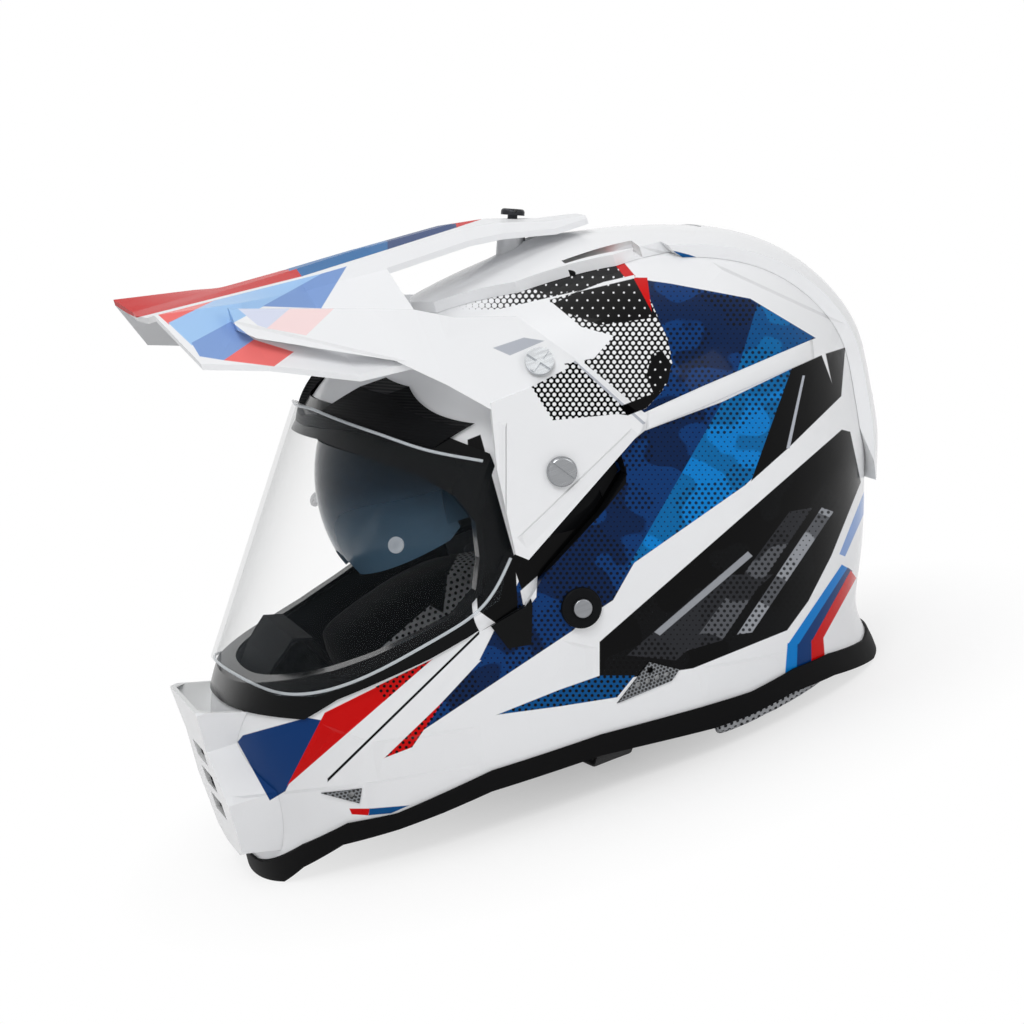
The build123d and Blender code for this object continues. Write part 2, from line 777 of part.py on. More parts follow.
def lens_pin_holes():
    holes = None
    for side in (-1, 1):
        hole = lens_pin_frame(side) * Pos(0, 0, -overrun / 4) * extrude(
            Circle(lens_pin_radius / 2 + running_gap), overrun / 2
        )
        holes = hole if holes is None else holes + hole
    return holes


def lens_pins():
    """The two clear pins that would hold an anti-fog insert."""
    pins = None
    for side in (-1, 1):
        frame = lens_pin_frame(side)
        shank = Pos(0, 0, -lens_pin_length) * extrude(Circle(lens_pin_radius / 2), lens_pin_length + seat_gap)
        head = Pos(0, 0, seat_gap) * extrude(Circle(lens_pin_radius), lens_pin_length / 4)
        pin = frame * (shank + head)
        pins = pin if pins is None else pins + pin
    return pins


def pocket_floor():
    return half_width - pocket_depth


def shield_base(side):
    """The black plate between the shell and the shield."""
    start = pocket_floor() + seat_gap
    body = side_prism(scaled(base_shares), start, start + base_wall, base_corner)
    front = side_prism([(-reach, 0), (ear_radius, 0), (ear_radius, 2 * height), (-reach, 2 * height)],
                       start, start + base_wall)
    body = (body & shield_room(slide_gap)) + (body - front)
    body -= hinge_holes(screw_radius + running_gap)
    return body if side > 0 else mirror(body, Plane.YZ)


def shield_bushes():
    """The bushes that the shield turns on."""
    start = pocket_floor() + seat_gap + base_wall
    end = pod_inner() - slide_gap
    bush = pin_x(bush_radius, start, end, 0, pivot_height)
    return both_sides(bush) - hinge_holes(screw_radius + running_gap)


def coin_slot_head(radius, head_height):
    """A domed screw head with a coin slot, standing on its plane."""
    head = extrude(Circle(radius), head_height)
    head = fillet(head.edges().group_by(Axis.Z)[-1], head_height / 2)
    slot = Pos(0, 0, head_height) * Box(slot_width, 3 * radius, head_height)
    return head - slot


def peak_side_screws():
    """The lower screws, which the peak tilts about."""
    start = pocket_floor() - shell_wall - 2 * running_gap
    head_start = pod_outer() + slide_gap
    shank = pin_x(screw_radius, start, head_start, 0, pivot_height)
    seat = Plane(origin=(head_start, 0, pivot_height), x_dir=(0, 1, 0), z_dir=(1, 0, 0))
    head = seat * Rot(0, 0, head_turn) * coin_slot_head(screw_head_radius, screw_head_height)
    return both_sides(shank + head)


def peak_wing_screws():
    """The upper screws with a four-armed wing head."""
    start = slide_gap
    head = Pos(0, 0, start) * extrude(Circle(wing_head_radius), wing_head_height)
    for turn in (head_turn, head_turn + 90):
        rib = Pos(0, 0, start + wing_rib_height / 2) * Rot(0, 0, turn) * Box(
            1.9 * wing_head_radius, wing_rib_width, wing_rib_height
        )
        head += rib
    shank = Pos(0, 0, -boss_depth + start) * extrude(Circle(wing_shank), boss_depth)
    return both_sides(wing_plane() * (head + shank))


def peak_top_screw():
    """The screw through the tongue of the peak."""
    start = 4 * slide_gap
    head = Pos(0, 0, start) * coin_slot_head(tongue_head_radius, screw_head_height)
    shank = Pos(0, 0, -boss_depth + start) * extrude(Circle(wing_shank), boss_depth)
    return tongue_plane() * (head + shank)


def roof_rib(rib):
    """One cross-section of the peak's roof, with its wall below it."""
    place = rib[0] * reach
    centre = rib[1] * height
    upper = [(0, centre)]
    for step in range(2, len(rib), 2):
        upper.append((rib[step] * half_width, rib[step + 1] * height))
    whole = [(-x, z) for x, z in reversed(upper[1:])] + upper
    lower = [(x, z - peak_wall) for x, z in reversed(whole)]
    face = make_face(Polyline(*(whole + lower), close=True))
    return Plane.XZ.offset(-place) * face


def blade(side_ribs):
    """One side blade, as a ruled sheet through its ribs."""
    sections = []
    for place, low_x, low_z, high_x, high_z, root_share in side_ribs:
        low = (low_x * pod_outer(), low_z * height - peak_wall)
        high = (high_x * pod_outer(), high_z * height)
        root = (low[0] - root_share * blade_wall, low[1])
        points = [low, high, (high[0] - blade_wall, high[1]), root]
        face = make_face(Polyline(*points, close=True))
        sections.append(Plane.XZ.offset(-place * reach) * face)
    return loft(sections, ruled=True)


def long_slot(plane, radius, travel):
    """A slot along a plane's first axis, cut through it."""
    outline = Rectangle(2 * travel, 2 * radius)
    outline += Pos(travel, 0) * Circle(radius)
    outline += Pos(-travel, 0) * Circle(radius)
    return plane * Pos(0, 0, -overrun / 4) * extrude(outline, overrun / 2)


def peak():
    """The one-piece peak: roof, tongue, side blades and hinge pods."""
    roof = loft([roof_rib(rib) for rib in roof_shares], ruled=True)
    tongue = loft([roof_rib(rib) for rib in tongue_shares], ruled=True)
    pod = side_prism(scaled(pod_shares), pod_inner(), pod_outer())
    side = blade(blade_shares) + pod
    body = roof + tongue + both_sides(side)
    plan = [(x * half_width, y * reach) for x, y in peak_front_shares]
    plan = make_face(Polyline(*full_outline(plan), close=True))
    body &= extrude(plan, 2 * height)
    body -= hinge_holes(screw_radius + running_gap)
    swing = radians(tilt_limit)
    wing = wing_plane()
    wing_travel = hypot(wing.origin.Y, wing.origin.Z - pivot_height) * swing + slide_gap
    body -= both_sides(long_slot(wing, wing_shank + slide_gap, wing_travel))
    tongue_frame = tongue_plane()
    top_travel = hypot(tongue_frame.origin.Y, tongue_frame.origin.Z - pivot_height) * swing + slide_gap
    body -= long_slot(tongue_frame, wing_shank + slide_gap, top_travel)
    return body


def sun_lens():
    """The dark lens: a revolved shell with two ears at its hinge."""
    wall = Ellipse(lens_half_width, lens_radius) - Ellipse(lens_half_width - lens_wall, lens_radius - lens_wall)
    window = Rectangle(2 * lens_edge, 2 * lens_radius * (1 - lens_side_share))
    wall &= Pos(0, lens_radius) * window
    y_place, z_place = lens_axis_place()
    axis = Axis((0, y_place, z_place), (1, 0, 0))
    body = revolve(lens_plane(lens_start) * wall, axis, revolution_arc=lens_sweep)
    body &= through_prism(scaled(lens_low_shares))
    nose = Pos(0, -reach / 2, nose_level_share * height) * Rot(90, 0, 0) * Cylinder(nose_radius, reach)
    body -= nose
    ear_start = lens_edge - 2 * lens_wall
    arm = []
    for angle, distance_share in lens_arm_shares:
        turn = radians(angle)
        distance = distance_share * lens_radius
        arm.append((y_place + distance * cos(turn), z_place + distance * sin(turn)))
    ear = side_prism(arm, ear_start, lens_edge)
    ear += pin_x(lens_ear_radius, ear_start, lens_edge, y_place, z_place)
    body += both_sides(ear)
    hole = pin_x(lens_pin_shank + running_gap, ear_start - lens_wall, lens_edge + lens_wall, y_place, z_place)
    return body - both_sides(hole)


def sun_lens_pivots():
    """The pins inside the shell that the sun lens turns on."""
    y_place, z_place = lens_axis_place()
    wall_face = pocket_floor() - shell_wall - seat_gap
    head_face = lens_pivot_face()
    pin = pin_x(lens_pin_shank, head_face, wall_face, y_place, z_place)
    pin += pin_x(2 * lens_pin_shank, head_face - lens_wall, head_face, y_place, z_place)
    pin += pin_x(2 * lens_pin_shank, lens_edge + slide_gap, wall_face, y_place, z_place)
    return both_sides(pin)


def slider_track():
    """The plate that the lens knob slides on."""
    body = knob_block(track_length(), track_width(), -track_seat() + seat_gap, track_wall - track_seat())
    return body - knob_block(knob_travel + 2 * stem_width, stem_width + 2 * slide_gap, -overrun, overrun)


def sun_lens_slider():
    """The knob, at the end of its track where the lens is down."""
    low = track_wall - track_seat() + slide_gap
    knob = knob_block(knob_length, knob_width, low, low + knob_height)
    for step in (-1, 0, 1):
        groove = Box(groove_width, 2 * knob_width, groove_width)
        groove = Pos(step * knob_length / 4, 0, low + knob_height) * groove
        knob -= knob_plane() * groove
    inside = -track_seat() - shell_wall - 2 * soft_gap
    stem = knob_block(stem_width, stem_width, inside, low)
    back = inside - shell_wall
    foot = knob_block(knob_width, knob_width * foot_width_share, back, back + shell_wall)
    along = -knob_travel / 2
    plane = knob_plane()
    shift = plane.x_dir * along
    return Pos(shift.X, shift.Y, shift.Z) * (knob + stem + foot)


def cover_body(shrink):
    """The faceted chin cover as a solid, with its front drawn back by the shrink."""
    faces = []
    for pairs, place in ((cover_front_shares, cover_face_share), (cover_base_shares, cover_back_share)):
        face = make_face(Polyline(*full_outline(scaled(pairs, half_width, height)), close=True))
        face = offset(face, -shrink, kind=Kind.INTERSECTION) if shrink else face
        faces.append(Plane.XZ.offset(place * reach - shrink) * face)
    return loft(faces, ruled=True)


def chin_vent_cover():
    """The faceted moulding on the chin, hollow behind, with three louvres."""
    body = cover_body(0) - cover_body(cover_wall) - skin(seat_gap)
    outline = offset(make_face(Polyline(*scaled(gasket_shares), close=True)), soft_gap)
    body -= extrude(Plane.YZ.offset(-half_width) * outline, 2 * half_width)
    for level_share in louvre_shares:
        slot = Pos(0, -reach, level_share * height) * Box(2 * louvre_half_width, reach / 5, louvre_height)
        body -= slot
    return body


def chin_vent_shutter():
    """The sliding plate behind the louvres, with its finger tab."""
    front = -cover_face_share * reach + cover_wall + slide_gap
    middle = louvre_shares[1] * height - shutter_travel / 2
    plate = Pos(0, front + shutter_wall / 2, middle) * Box(
        2 * shutter_half_width, shutter_wall, shutter_height
    )
    for level_share in louvre_shares:
        level = level_share * height
        slot = Pos(0, front, level) * Box(2 * louvre_half_width - shutter_wall, 4 * shutter_wall, louvre_height / 2)
        plate -= slot
    tab_depth = cover_wall + slide_gap
    tab_level = louvre_shares[1] * height - louvre_height / 2 + slide_gap + shutter_wall / 2
    tab = Pos(0, front - tab_depth / 2 + shutter_wall / 2, tab_level) * Box(
        louvre_half_width / 2, tab_depth, shutter_wall
    )
    return plate + tab


def grilles(pairs):
    """A perforated side grille on each side."""
    face = make_face(Polyline(*pairs, close=True))
    block = extrude(Plane.YZ.offset(half_width / 4) * face, half_width)
    body = band(grille_wall / 2, -grille_wall + seat_gap, block)
    inside = offset(face, -grille_hole)
    box = face.bounding_box()
    rows = ceil(box.size.Y / grille_pitch)
    columns = ceil(box.size.X / grille_pitch)
    for row in range(rows):
        for column in range(columns):
            y_place = box.min.X + (column + 0.5 * (row % 2)) * grille_pitch
            z_place = box.min.Y + row * grille_pitch
            spot = Vertex(y_place, z_place, 0)
            if inside.distance_to(spot) < running_gap:
                body -= pin_x(grille_hole, half_width / 4, 2 * half_width, y_place, z_place)
    return both_sides(body)


def crown_vent():
    """The raised moulding on the crown with a scoop on each side."""
    plan = [(x * half_width, y * reach) for x, y in crown_plan_shares]
    face = make_face(Polyline(*full_outline(plan), close=True))
    body = band(seat_gap + crown_wall, seat_gap, Pos(0, 0, height / 2) * extrude(face, height))
    body -= tongue_plane() * Pos(0, 0, -overrun) * extrude(Circle(boss_radius + seat_gap), 2 * overrun)
    place = Pos(*share_place(scoop_place_shares))
    scoop = place * Rot(90, 0, 0) * Cylinder(scoop_radius, scoop_length)
    return body - both_sides(scoop)


def share_place(shares):
    """A place given as shares of the half width, the reach and the height."""
    return shares[0] * half_width, shares[1] * reach, shares[2] * height


def rear_spoiler():
    """The exhaust moulding down the back, with an outlet on each side."""
    half = spoiler_half_share * half_width
    cutter = side_prism(scaled(spoiler_shares), -half, half)
    plan = [(x * half_width, y * reach) for x, y in crown_plan_shares]
    face = offset(make_face(Polyline(*full_outline(plan), close=True)), 2 * seat_gap)
    body = band(seat_gap + spoiler_wall, seat_gap, cutter - extrude(face, 2 * height))
    outlet = Pos(*share_place(outlet_place_shares)) * Box(*share_place(outlet_size_shares))
    return body - both_sides(outlet)


def anchor_face():
    """How far out an anchor plate lies, clear of the shell at its lowest corner."""
    y_place, z_place = scaled([rivet_shares])[0]
    outside = skin_half_width(z_place - anchor_height * anchor_drop_share, y_place - anchor_width / 2)
    return outside - shell_wall - 2 * soft_gap


def strap_rivets():
    """The rivets that hold the chin strap, through shell and anchor."""
    y_place, z_place = scaled([rivet_shares])[0]
    outside = skin_half_width(z_place, y_place)
    inside = anchor_face() - anchor_wall - seat_gap
    seat = outside + washer_height
    shank = pin_x(rivet_shank, inside, seat, y_place, z_place)
    plane = Plane(origin=(seat, y_place, z_place), x_dir=(0, 1, 0), z_dir=(1, 0, 0))
    head = extrude(Circle(rivet_head_radius), rivet_head_height)
    head = plane * fillet(head.edges().group_by(Axis.Z)[-1], rivet_head_height / 3)
    tail = pin_x(1.5 * rivet_shank, inside - anchor_wall, inside, y_place, z_place)
    return both_sides(shank + head + tail)


def rivet_washers():
    """The domed rubber washers under the rivet heads."""
    y_place, z_place = scaled([rivet_shares])[0]
    outside = skin_half_width(z_place, y_place)
    end = outside + washer_height - seat_gap
    body = pin_x(washer_radius, outside - shell_wall / 2, end, y_place, z_place)
    body = fillet(body.edges().group_by(Axis.X)[-1], washer_height / 2)
    left = Pos(seat_gap, 0, 0) * (body - skin(0))
    right = Pos(-seat_gap, 0, 0) * (mirror(body, Plane.YZ) - skin(0))
    return left + right - rivet_holes(rivet_shank + running_gap)


def strap_anchors():
    """The steel plates inside the shell that the webbing is looped through."""
    y_place, z_place = scaled([rivet_shares])[0]
    middle = z_place - anchor_height * (anchor_drop_share - 0.5)
    plate = Box(anchor_wall, anchor_width, anchor_height)
    plate = Pos(anchor_face() - anchor_wall / 2, y_place, middle) * plate
    return both_sides(plate) - rivet_holes(rivet_shank + running_gap)


def strap_path(tail_pairs, side):
    """The strap's line, from its anchor to where it ends, seen from the front."""
    pairs = scaled(strap_route_shares, half_width, height) + tail_pairs
    return [(side * x, z) for x, z in pairs]


def webbing(points):
    """A flat strap along a line seen from the front."""
    bends = [strap_bend] * (len(points) - 2)
    for place in range(1, len(points) - 1):
        before = hypot(points[place][0] - points[place - 1][0], points[place][1] - points[place - 1][1])
        after = hypot(points[place + 1][0] - points[place][0], points[place + 1][1] - points[place][1])
        bends[place - 1] = min(strap_bend, 0.45 * min(before, after))
    y_place = rivet_shares[0] * reach
    path = FilletPolyline(*points, radius=bends)
    face = trace(path, strap_wall)
    return extrude(Plane.XZ.offset(-y_place - strap_width / 2) * face, strap_width)


def strap_left():
    """The short strap, which holds the two rings in its end loop."""
    bar = ring_place + ring_length / 2 - ring_bar / 2
    low = ring_level - loop_height
    high = ring_level + loop_height
    turn = bar - loop_height
    tail = [(bar + loop_height, low), (turn, low), (turn, high), (bar + 2 * loop_height, high)]
    return webbing(strap_path(tail, 1))


def strap_right():
    """The long strap, threaded through the rings and folded back."""
    bar = ring_place - ring_length / 2 + ring_bar / 2
    low = ring_level - loop_height
    high = ring_level + loop_height
    turn = bar + loop_height
    tail = [(-bar + loop_height, low), (-turn, low), (-turn, high), (strap_tail, high)]
    return webbing(strap_path(tail, -1))


def d_rings():
    """The two steel rings, one on the other."""
    outer = Rectangle(ring_length, ring_width)
    outer = fillet(outer.vertices().group_by(Axis.X)[0], ring_corner + ring_bar)
    inner = Rectangle(ring_length - 2 * ring_bar, ring_width - 2 * ring_bar)
    inner = fillet(inner.vertices().group_by(Axis.X)[0], ring_corner)
    ring = extrude(outer - inner, ring_wall)
    y_place = rivet_shares[0] * reach
    low = ring_level - ring_wall - soft_gap / 2
    high = ring_level + soft_gap / 2
    return Pos(ring_place, y_place, low) * ring + Pos(ring_place, y_place, high) * ring


def breath_guard():
    """The cranked guard that stands on the chin foam."""
    upper = scaled(guard_shares)
    lower = [(y, z - guard_wall) for y, z in reversed(upper)]
    body = side_prism(upper + lower, -guard_half_width, guard_half_width)
    front, middle = lower[-1][0], lower[0][0]
    wide = guard_half_width
    narrow = guard_corner_share * guard_half_width
    plan = make_face(Polyline(
        (-wide, middle), (-wide, (front + middle) / 2), (-narrow, front),
        (narrow, front), (wide, (front + middle) / 2), (wide, middle), close=True,
    ))
    return body & extrude(plan, height)


makers = {
    "outer_shell": outer_shell,
    "impact_liner": impact_liner,
    "chin_liner": chin_liner,
    "crown_pad": crown_pad,
    "cheek_pad_left": lambda: cheek_pad(1),
    "cheek_pad_right": lambda: cheek_pad(-1),
    "neck_roll": neck_roll,
    "rim_trim": rim_trim,
    "eyeport_gasket": eyeport_gasket,
    "brow_duct": brow_duct,
    "face_shield": face_shield,
    "lens_pins": lens_pins,
    "shield_base_left": lambda: shield_base(1),
    "shield_base_right": lambda: shield_base(-1),
    "shield_bushes": shield_bushes,
    "peak": peak,
    "peak_side_screws": peak_side_screws,
    "peak_wing_screws": peak_wing_screws,
    "peak_top_screw": peak_top_screw,
    "sun_lens": sun_lens,
    "sun_lens_pivots": sun_lens_pivots,
    "slider_track": slider_track,
    "sun_lens_slider": sun_lens_slider,
    "chin_vent_cover": chin_vent_cover,
    "chin_vent_shutter": chin_vent_shutter,
    "chin_grilles": lambda: grilles(scaled(chin_grille_shares)),
    "side_grilles": lambda: grilles(scaled(side_grille_shares)),
    "crown_vent": crown_vent,
    "rear_spoiler": rear_spoiler,
    "strap_rivets": strap_rivets,
    "rivet_washers": rivet_washers,
    "strap_anchors": strap_anchors,
    "strap_left": strap_left,
    "strap_right": strap_right,
    "d_rings": d_rings,
    "breath_guard": breath_guard,
}


def main():
    os.makedirs("parts", exist_ok=True)
    for name, make in makers.items():
        export_step(make(), f"parts/{name}.step")


main()
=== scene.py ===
"""Dual sport helmet: painted shell, peak, shields, padding and straps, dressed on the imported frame."""
import logging
import math
from collections.abc import Iterator, Sequence
from contextlib import contextmanager
from dataclasses import dataclass
from enum import Enum
from functools import cached_property, reduce
from operator import and_, or_

import bmesh
import bpy
from mathutils import Matrix, Vector
from mathutils.bvhtree import BVHTree


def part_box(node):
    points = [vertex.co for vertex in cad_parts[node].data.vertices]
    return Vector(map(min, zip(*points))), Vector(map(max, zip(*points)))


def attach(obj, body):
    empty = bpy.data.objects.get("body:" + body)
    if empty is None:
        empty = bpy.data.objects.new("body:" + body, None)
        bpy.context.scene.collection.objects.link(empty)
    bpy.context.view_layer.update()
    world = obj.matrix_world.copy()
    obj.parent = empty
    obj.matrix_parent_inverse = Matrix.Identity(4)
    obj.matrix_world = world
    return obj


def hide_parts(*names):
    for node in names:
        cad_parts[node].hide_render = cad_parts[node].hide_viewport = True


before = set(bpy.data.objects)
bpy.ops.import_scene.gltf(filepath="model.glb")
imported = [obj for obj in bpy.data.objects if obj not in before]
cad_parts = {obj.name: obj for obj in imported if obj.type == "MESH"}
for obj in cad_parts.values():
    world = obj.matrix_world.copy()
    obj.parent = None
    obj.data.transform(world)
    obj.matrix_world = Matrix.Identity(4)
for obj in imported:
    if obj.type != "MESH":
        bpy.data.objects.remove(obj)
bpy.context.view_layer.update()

log = logging.getLogger("helmet")
Point = tuple[float, float]
Spot = tuple[float, float, float]
Colour = tuple[float, float, float, float]


# --- shader maths


@dataclass(frozen=True)
class Hue:
    """A colour, written as a screen shows it."""

    code: str

    def tint(self, factor: float, lift: float = 0.0) -> Colour:
        """The colour in linear light, made darker or brighter, with full alpha.

        Args:
            factor: what each part is multiplied by.
            lift: what each part gains after that.

        Returns:
            The colour, with no part above one.
        """
        parts = [int(self.code[place : place + 2], 16) / 255 for place in (0, 2, 4)]
        made = [p / 12.92 if p <= 0.04045 else ((p + 0.055) / 1.055) ** 2.4 for p in parts]
        return tuple(min(1.0, p * factor + lift) for p in made) + (1.0,)

    @property
    def linear(self) -> Colour:
        """The colour itself in linear light."""
        return self.tint(1.0)


class Term:
    """A node's output that takes part in Python expressions."""

    def __init__(self, graph: "Graph", socket: bpy.types.NodeSocket) -> None:
        """Keeps the output and the graph that it belongs to."""
        self.graph = graph
        self.socket = socket

    def __add__(self, other: "Amount") -> "Term":
        """Sum."""
        return self.graph.maths("ADD", self, other)

    __radd__ = __add__

    def __sub__(self, other: "Amount") -> "Term":
        """Difference."""
        return self.graph.maths("SUBTRACT", self, other)

    def __rsub__(self, other: "Amount") -> "Term":
        """Reflected difference."""
        return self.graph.maths("SUBTRACT", other, self)

    def __mul__(self, other: "Amount") -> "Term":
        """Product."""
        return self.graph.maths("MULTIPLY", self, other)

    __rmul__ = __mul__

    def __truediv__(self, other: "Amount") -> "Term":
        """Quotient."""
        return self.graph.maths("DIVIDE", self, other)

    def __rtruediv__(self, other: "Amount") -> "Term":
        """Reflected quotient."""
        return self.graph.maths("DIVIDE", other, self)

    def __and__(self, other: "Amount") -> "Term":
        """The lower of the two, which is where both masks hold."""
        return self.graph.maths("MINIMUM", self, other)

    def __or__(self, other: "Amount") -> "Term":
        """The higher of the two, which is where either mask holds."""
        return self.graph.maths("MAXIMUM", self, other)

    def size(self) -> "Term":
        """The value without its sign."""
        return self.graph.maths("ABSOLUTE", self)

    def wave(self) -> "Term":
        """Sine of the value."""
        return self.graph.maths("SINE", self)

    def step(self, sharpness: float = 1.5) -> "Term":
        """A soft-edged mask that is full where the value is above zero."""
        return self.graph.maths("MULTIPLY_ADD", self, sharpness, 0.5, clamp=True)

    def share(self, factor: float = 1.0) -> "Term":
        """The value times a factor, kept between 0 and 1."""
        return self.graph.maths("MULTIPLY_ADD", self, factor, 0.0, clamp=True)

    def cell(self, pitch: float, shift: float) -> "Term":
        """Distance from the nearest multiple of the pitch, after a shift."""
        return self.graph.maths("PINGPONG", self + shift, pitch / 2)

    def dot(self, fixed: Sequence[float]) -> "Term":
        """Dot product of the vector with a fixed one."""
        return self.graph.vectors("DOT_PRODUCT", self, tuple(fixed), socket=1)

    def parts(self) -> tuple["Term", "Term", "Term"]:
        """The three values of the vector."""
        node = self.graph.add("ShaderNodeSeparateXYZ", {0: self})
        return tuple(self.graph.out(node, number) for number in range(3))

    def blend(self, first: "Term | Colour", second: "Term | Colour") -> "Term":
        """A colour between two; the value is the second one's share."""
        return self.graph.made("ShaderNodeMix", {0: self, 6: first, 7: second}, 2, data_type="RGBA")


Amount = Term | float


class Graph:
    """A node tree that expressions fill."""

    def __init__(self, tree: bpy.types.NodeTree) -> None:
        """Keeps the tree."""
        self.tree = tree

    def out(self, node: bpy.types.Node, socket: str | int = 0) -> Term:
        """The named output of a node."""
        return Term(self, node.outputs[socket])

    def fill(self, node: bpy.types.Node, inputs: dict) -> None:
        """Sets or links a node's inputs.

        Args:
            node: the node.
            inputs: values or terms by socket name or number.
        """
        for name, value in inputs.items():
            if isinstance(value, Term):
                self.tree.links.new(value.socket, node.inputs[name])
            else:
                node.inputs[name].default_value = value

    def add(self, kind: str, inputs: dict | None = None, **settings: object) -> bpy.types.Node:
        """Adds one node.

        Args:
            kind: the node's type.
            inputs: values or terms by socket name or number.
            settings: properties, set before the inputs.

        Returns:
            The node.
        """
        node = self.tree.nodes.new(kind)
        for name, value in settings.items():
            setattr(node, name, value)
        self.fill(node, inputs or {})
        return node

    def made(self, kind: str, inputs: dict | None = None, socket: str | int = 0, **settings: object) -> Term:
        """Adds one node as add does, and gives the output that socket names."""
        return self.out(self.add(kind, inputs, **settings), socket)

    def maths(self, operation: str, *values: Amount, clamp: bool = False) -> Term:
        """One Math node on one to three values."""
        return self.made("ShaderNodeMath", dict(enumerate(values)), operation=operation, use_clamp=clamp)

    def vectors(self, operation: str, *values: Term | Sequence[float], socket: int = 0) -> Term:
        """One Vector Math node; socket 1 is its plain number."""
        return self.made("ShaderNodeVectorMath", dict(enumerate(values)), socket, operation=operation)

    def seen(self) -> Term:
        """One for a ray from the camera, a mirror or a pane."""
        path = self.add("ShaderNodeLightPath")
        return reduce(or_, (self.out(path, f"Is {ray} Ray") for ray in ("Camera", "Glossy", "Transmission")))


class Shader(Graph):
    """One material and the nodes in it."""

    def __init__(self, name: str) -> None:
        """Makes an empty material with a principled surface.

        Args:
            name: the material's name.
        """
        self.material = bpy.data.materials.new(name)
        self.material.use_nodes = True
        super().__init__(self.material.node_tree)
        self.tree.nodes.clear()
        self.surface = self.add("ShaderNodeBsdfPrincipled")
        self.output = self.add("ShaderNodeOutputMaterial", {0: self.out(self.surface)})
        chart = self.add("ShaderNodeTexCoord")
        self.place = self.out(chart, "Object")
        self.normal = self.out(chart, "Normal")

    def join(self, *values: Amount) -> Term:
        """A vector made from three values."""
        return self.made("ShaderNodeCombineXYZ", dict(enumerate(values)))

    def noise(self, scale: float, detail: float = 2.0, vector: Term | None = None) -> Term:
        """Noise between 0 and 1 on the object's coordinates or another vector."""
        inputs = {"Vector": vector or self.place, "Scale": scale, "Detail": detail}
        return self.made("ShaderNodeTexNoise", inputs)

    def sprayed(self, roughness: Amount) -> Term:
        """A roughness with the slight unevenness of a sprayed coat."""
        return self.noise(35.0) * 0.05 + roughness

    def bump(self, height: Term, depth: float) -> None:
        """Feeds a height to the surface's normal, above any bump that is there already.

        Args:
            height: the height, from 0 to 1.
            depth: how far a height of one stands out, in metres.
        """
        inputs = {"Height": height, "Distance": depth, "Strength": 1.0}
        socket = self.surface.inputs["Normal"]
        if socket.is_linked:
            inputs["Normal"] = Term(self, socket.links[0].from_socket)
        self.feed(Normal=self.made("ShaderNodeBump", inputs))

    def feed(self, **values: Term | float | Colour) -> None:
        """Sets or links the surface's sockets; an underline in a name stands for a space."""
        self.fill(self.surface, {name.replace("_", " "): value for name, value in values.items()})

    def lacquer(self, coat: Amount, shine: float) -> None:
        """Adds a clear coat over a surface of that shine."""
        self.feed(Coat_Weight=coat, Coat_Roughness=0.03, Coat_IOR=1.25, Specular_IOR_Level=shine)

    def dress(self, *pieces: bpy.types.Object) -> None:
        """Gives the material to the pieces."""
        for piece in pieces:
            piece.data.materials.clear()
            piece.data.materials.append(self.material)


METRE_EDGE = 4000.0  # sharpness of a mask whose value is in metres
ROW_GAP = 1.7  # punched or knitted rows: the gap between them as a share of the pitch along them


def lattice(first: Term, second: Term, pitch: Point) -> Term:
    """Distance from the nearest centre of dots whose rows stand half a pitch apart.

    Args:
        first: the place along the rows.
        second: the place across them.
        pitch: the gap between dots along a row, and between a row and the next but one.

    Returns:
        The distance.
    """
    found = []
    for shift in (0.0, 0.5):
        wide = first.cell(pitch[0], pitch[0] * shift)
        tall = second.cell(pitch[1], pitch[1] * shift)
        found.append(first.graph.maths("SQRT", wide * wide + tall * tall))
    return reduce(and_, found)


# --- the camera's view


@dataclass(frozen=True)
class View:
    """Where the camera stands, and the picture plane that paint outlines are drawn on."""

    target: Spot = (0.0, -0.0027, 0.1264)
    right: Spot = (0.2419, 0.9218, -0.3030)
    up: Spot = (-0.1098, 0.3363, 0.9353)
    back: Spot = (0.9641, -0.1930, 0.1826)
    distance: float = 1.7
    lens: float = 117.3
    sensor: float = 36.0
    width: float = 1024.0

    @property
    def scale(self) -> float:
        """The lens's length in picture units."""
        return self.lens / self.sensor * self.width

    @property
    def eye(self) -> Vector:
        """The camera's place."""
        return Vector(self.target) + Vector(self.back) * self.distance

    def ray(self, place: Point) -> tuple[Vector, Vector]:
        """The line of sight through a place of the picture.

        Args:
            place: the place across and down.

        Returns:
            The camera's place and the direction.
        """
        across = (place[0] - self.width / 2) / self.scale
        rise = (self.width / 2 - place[1]) / self.scale
        way = Vector(self.right) * across + Vector(self.up) * rise - Vector(self.back)
        return self.eye, way.normalized()

    def plane(self, point: Term) -> tuple[Term, Term, Term]:
        """Where a point of the surface lies on the picture.

        Args:
            point: the point's coordinates.

        Returns:
            The place across, the place down, and both with a one in a vector.
        """
        centred = point.graph.vectors("SUBTRACT", point, self.target)
        depth = self.distance - centred.dot(self.back)
        across = centred.dot(self.right) / depth * self.scale + self.width / 2
        down = self.width / 2 - centred.dot(self.up) / depth * self.scale
        return across, down, point.graph.join(across, down, 1.0)

    def make_camera(self) -> None:
        """Puts the camera there."""
        data = bpy.data.cameras.new("camera")
        data.lens, data.sensor_width = self.lens, self.sensor
        camera = link("camera", data)
        axes = Matrix((self.right, self.up, self.back)).transposed().to_4x4()
        camera.matrix_world = Matrix.Translation(self.eye) @ axes
        bpy.context.scene.camera = camera


VIEW = View()


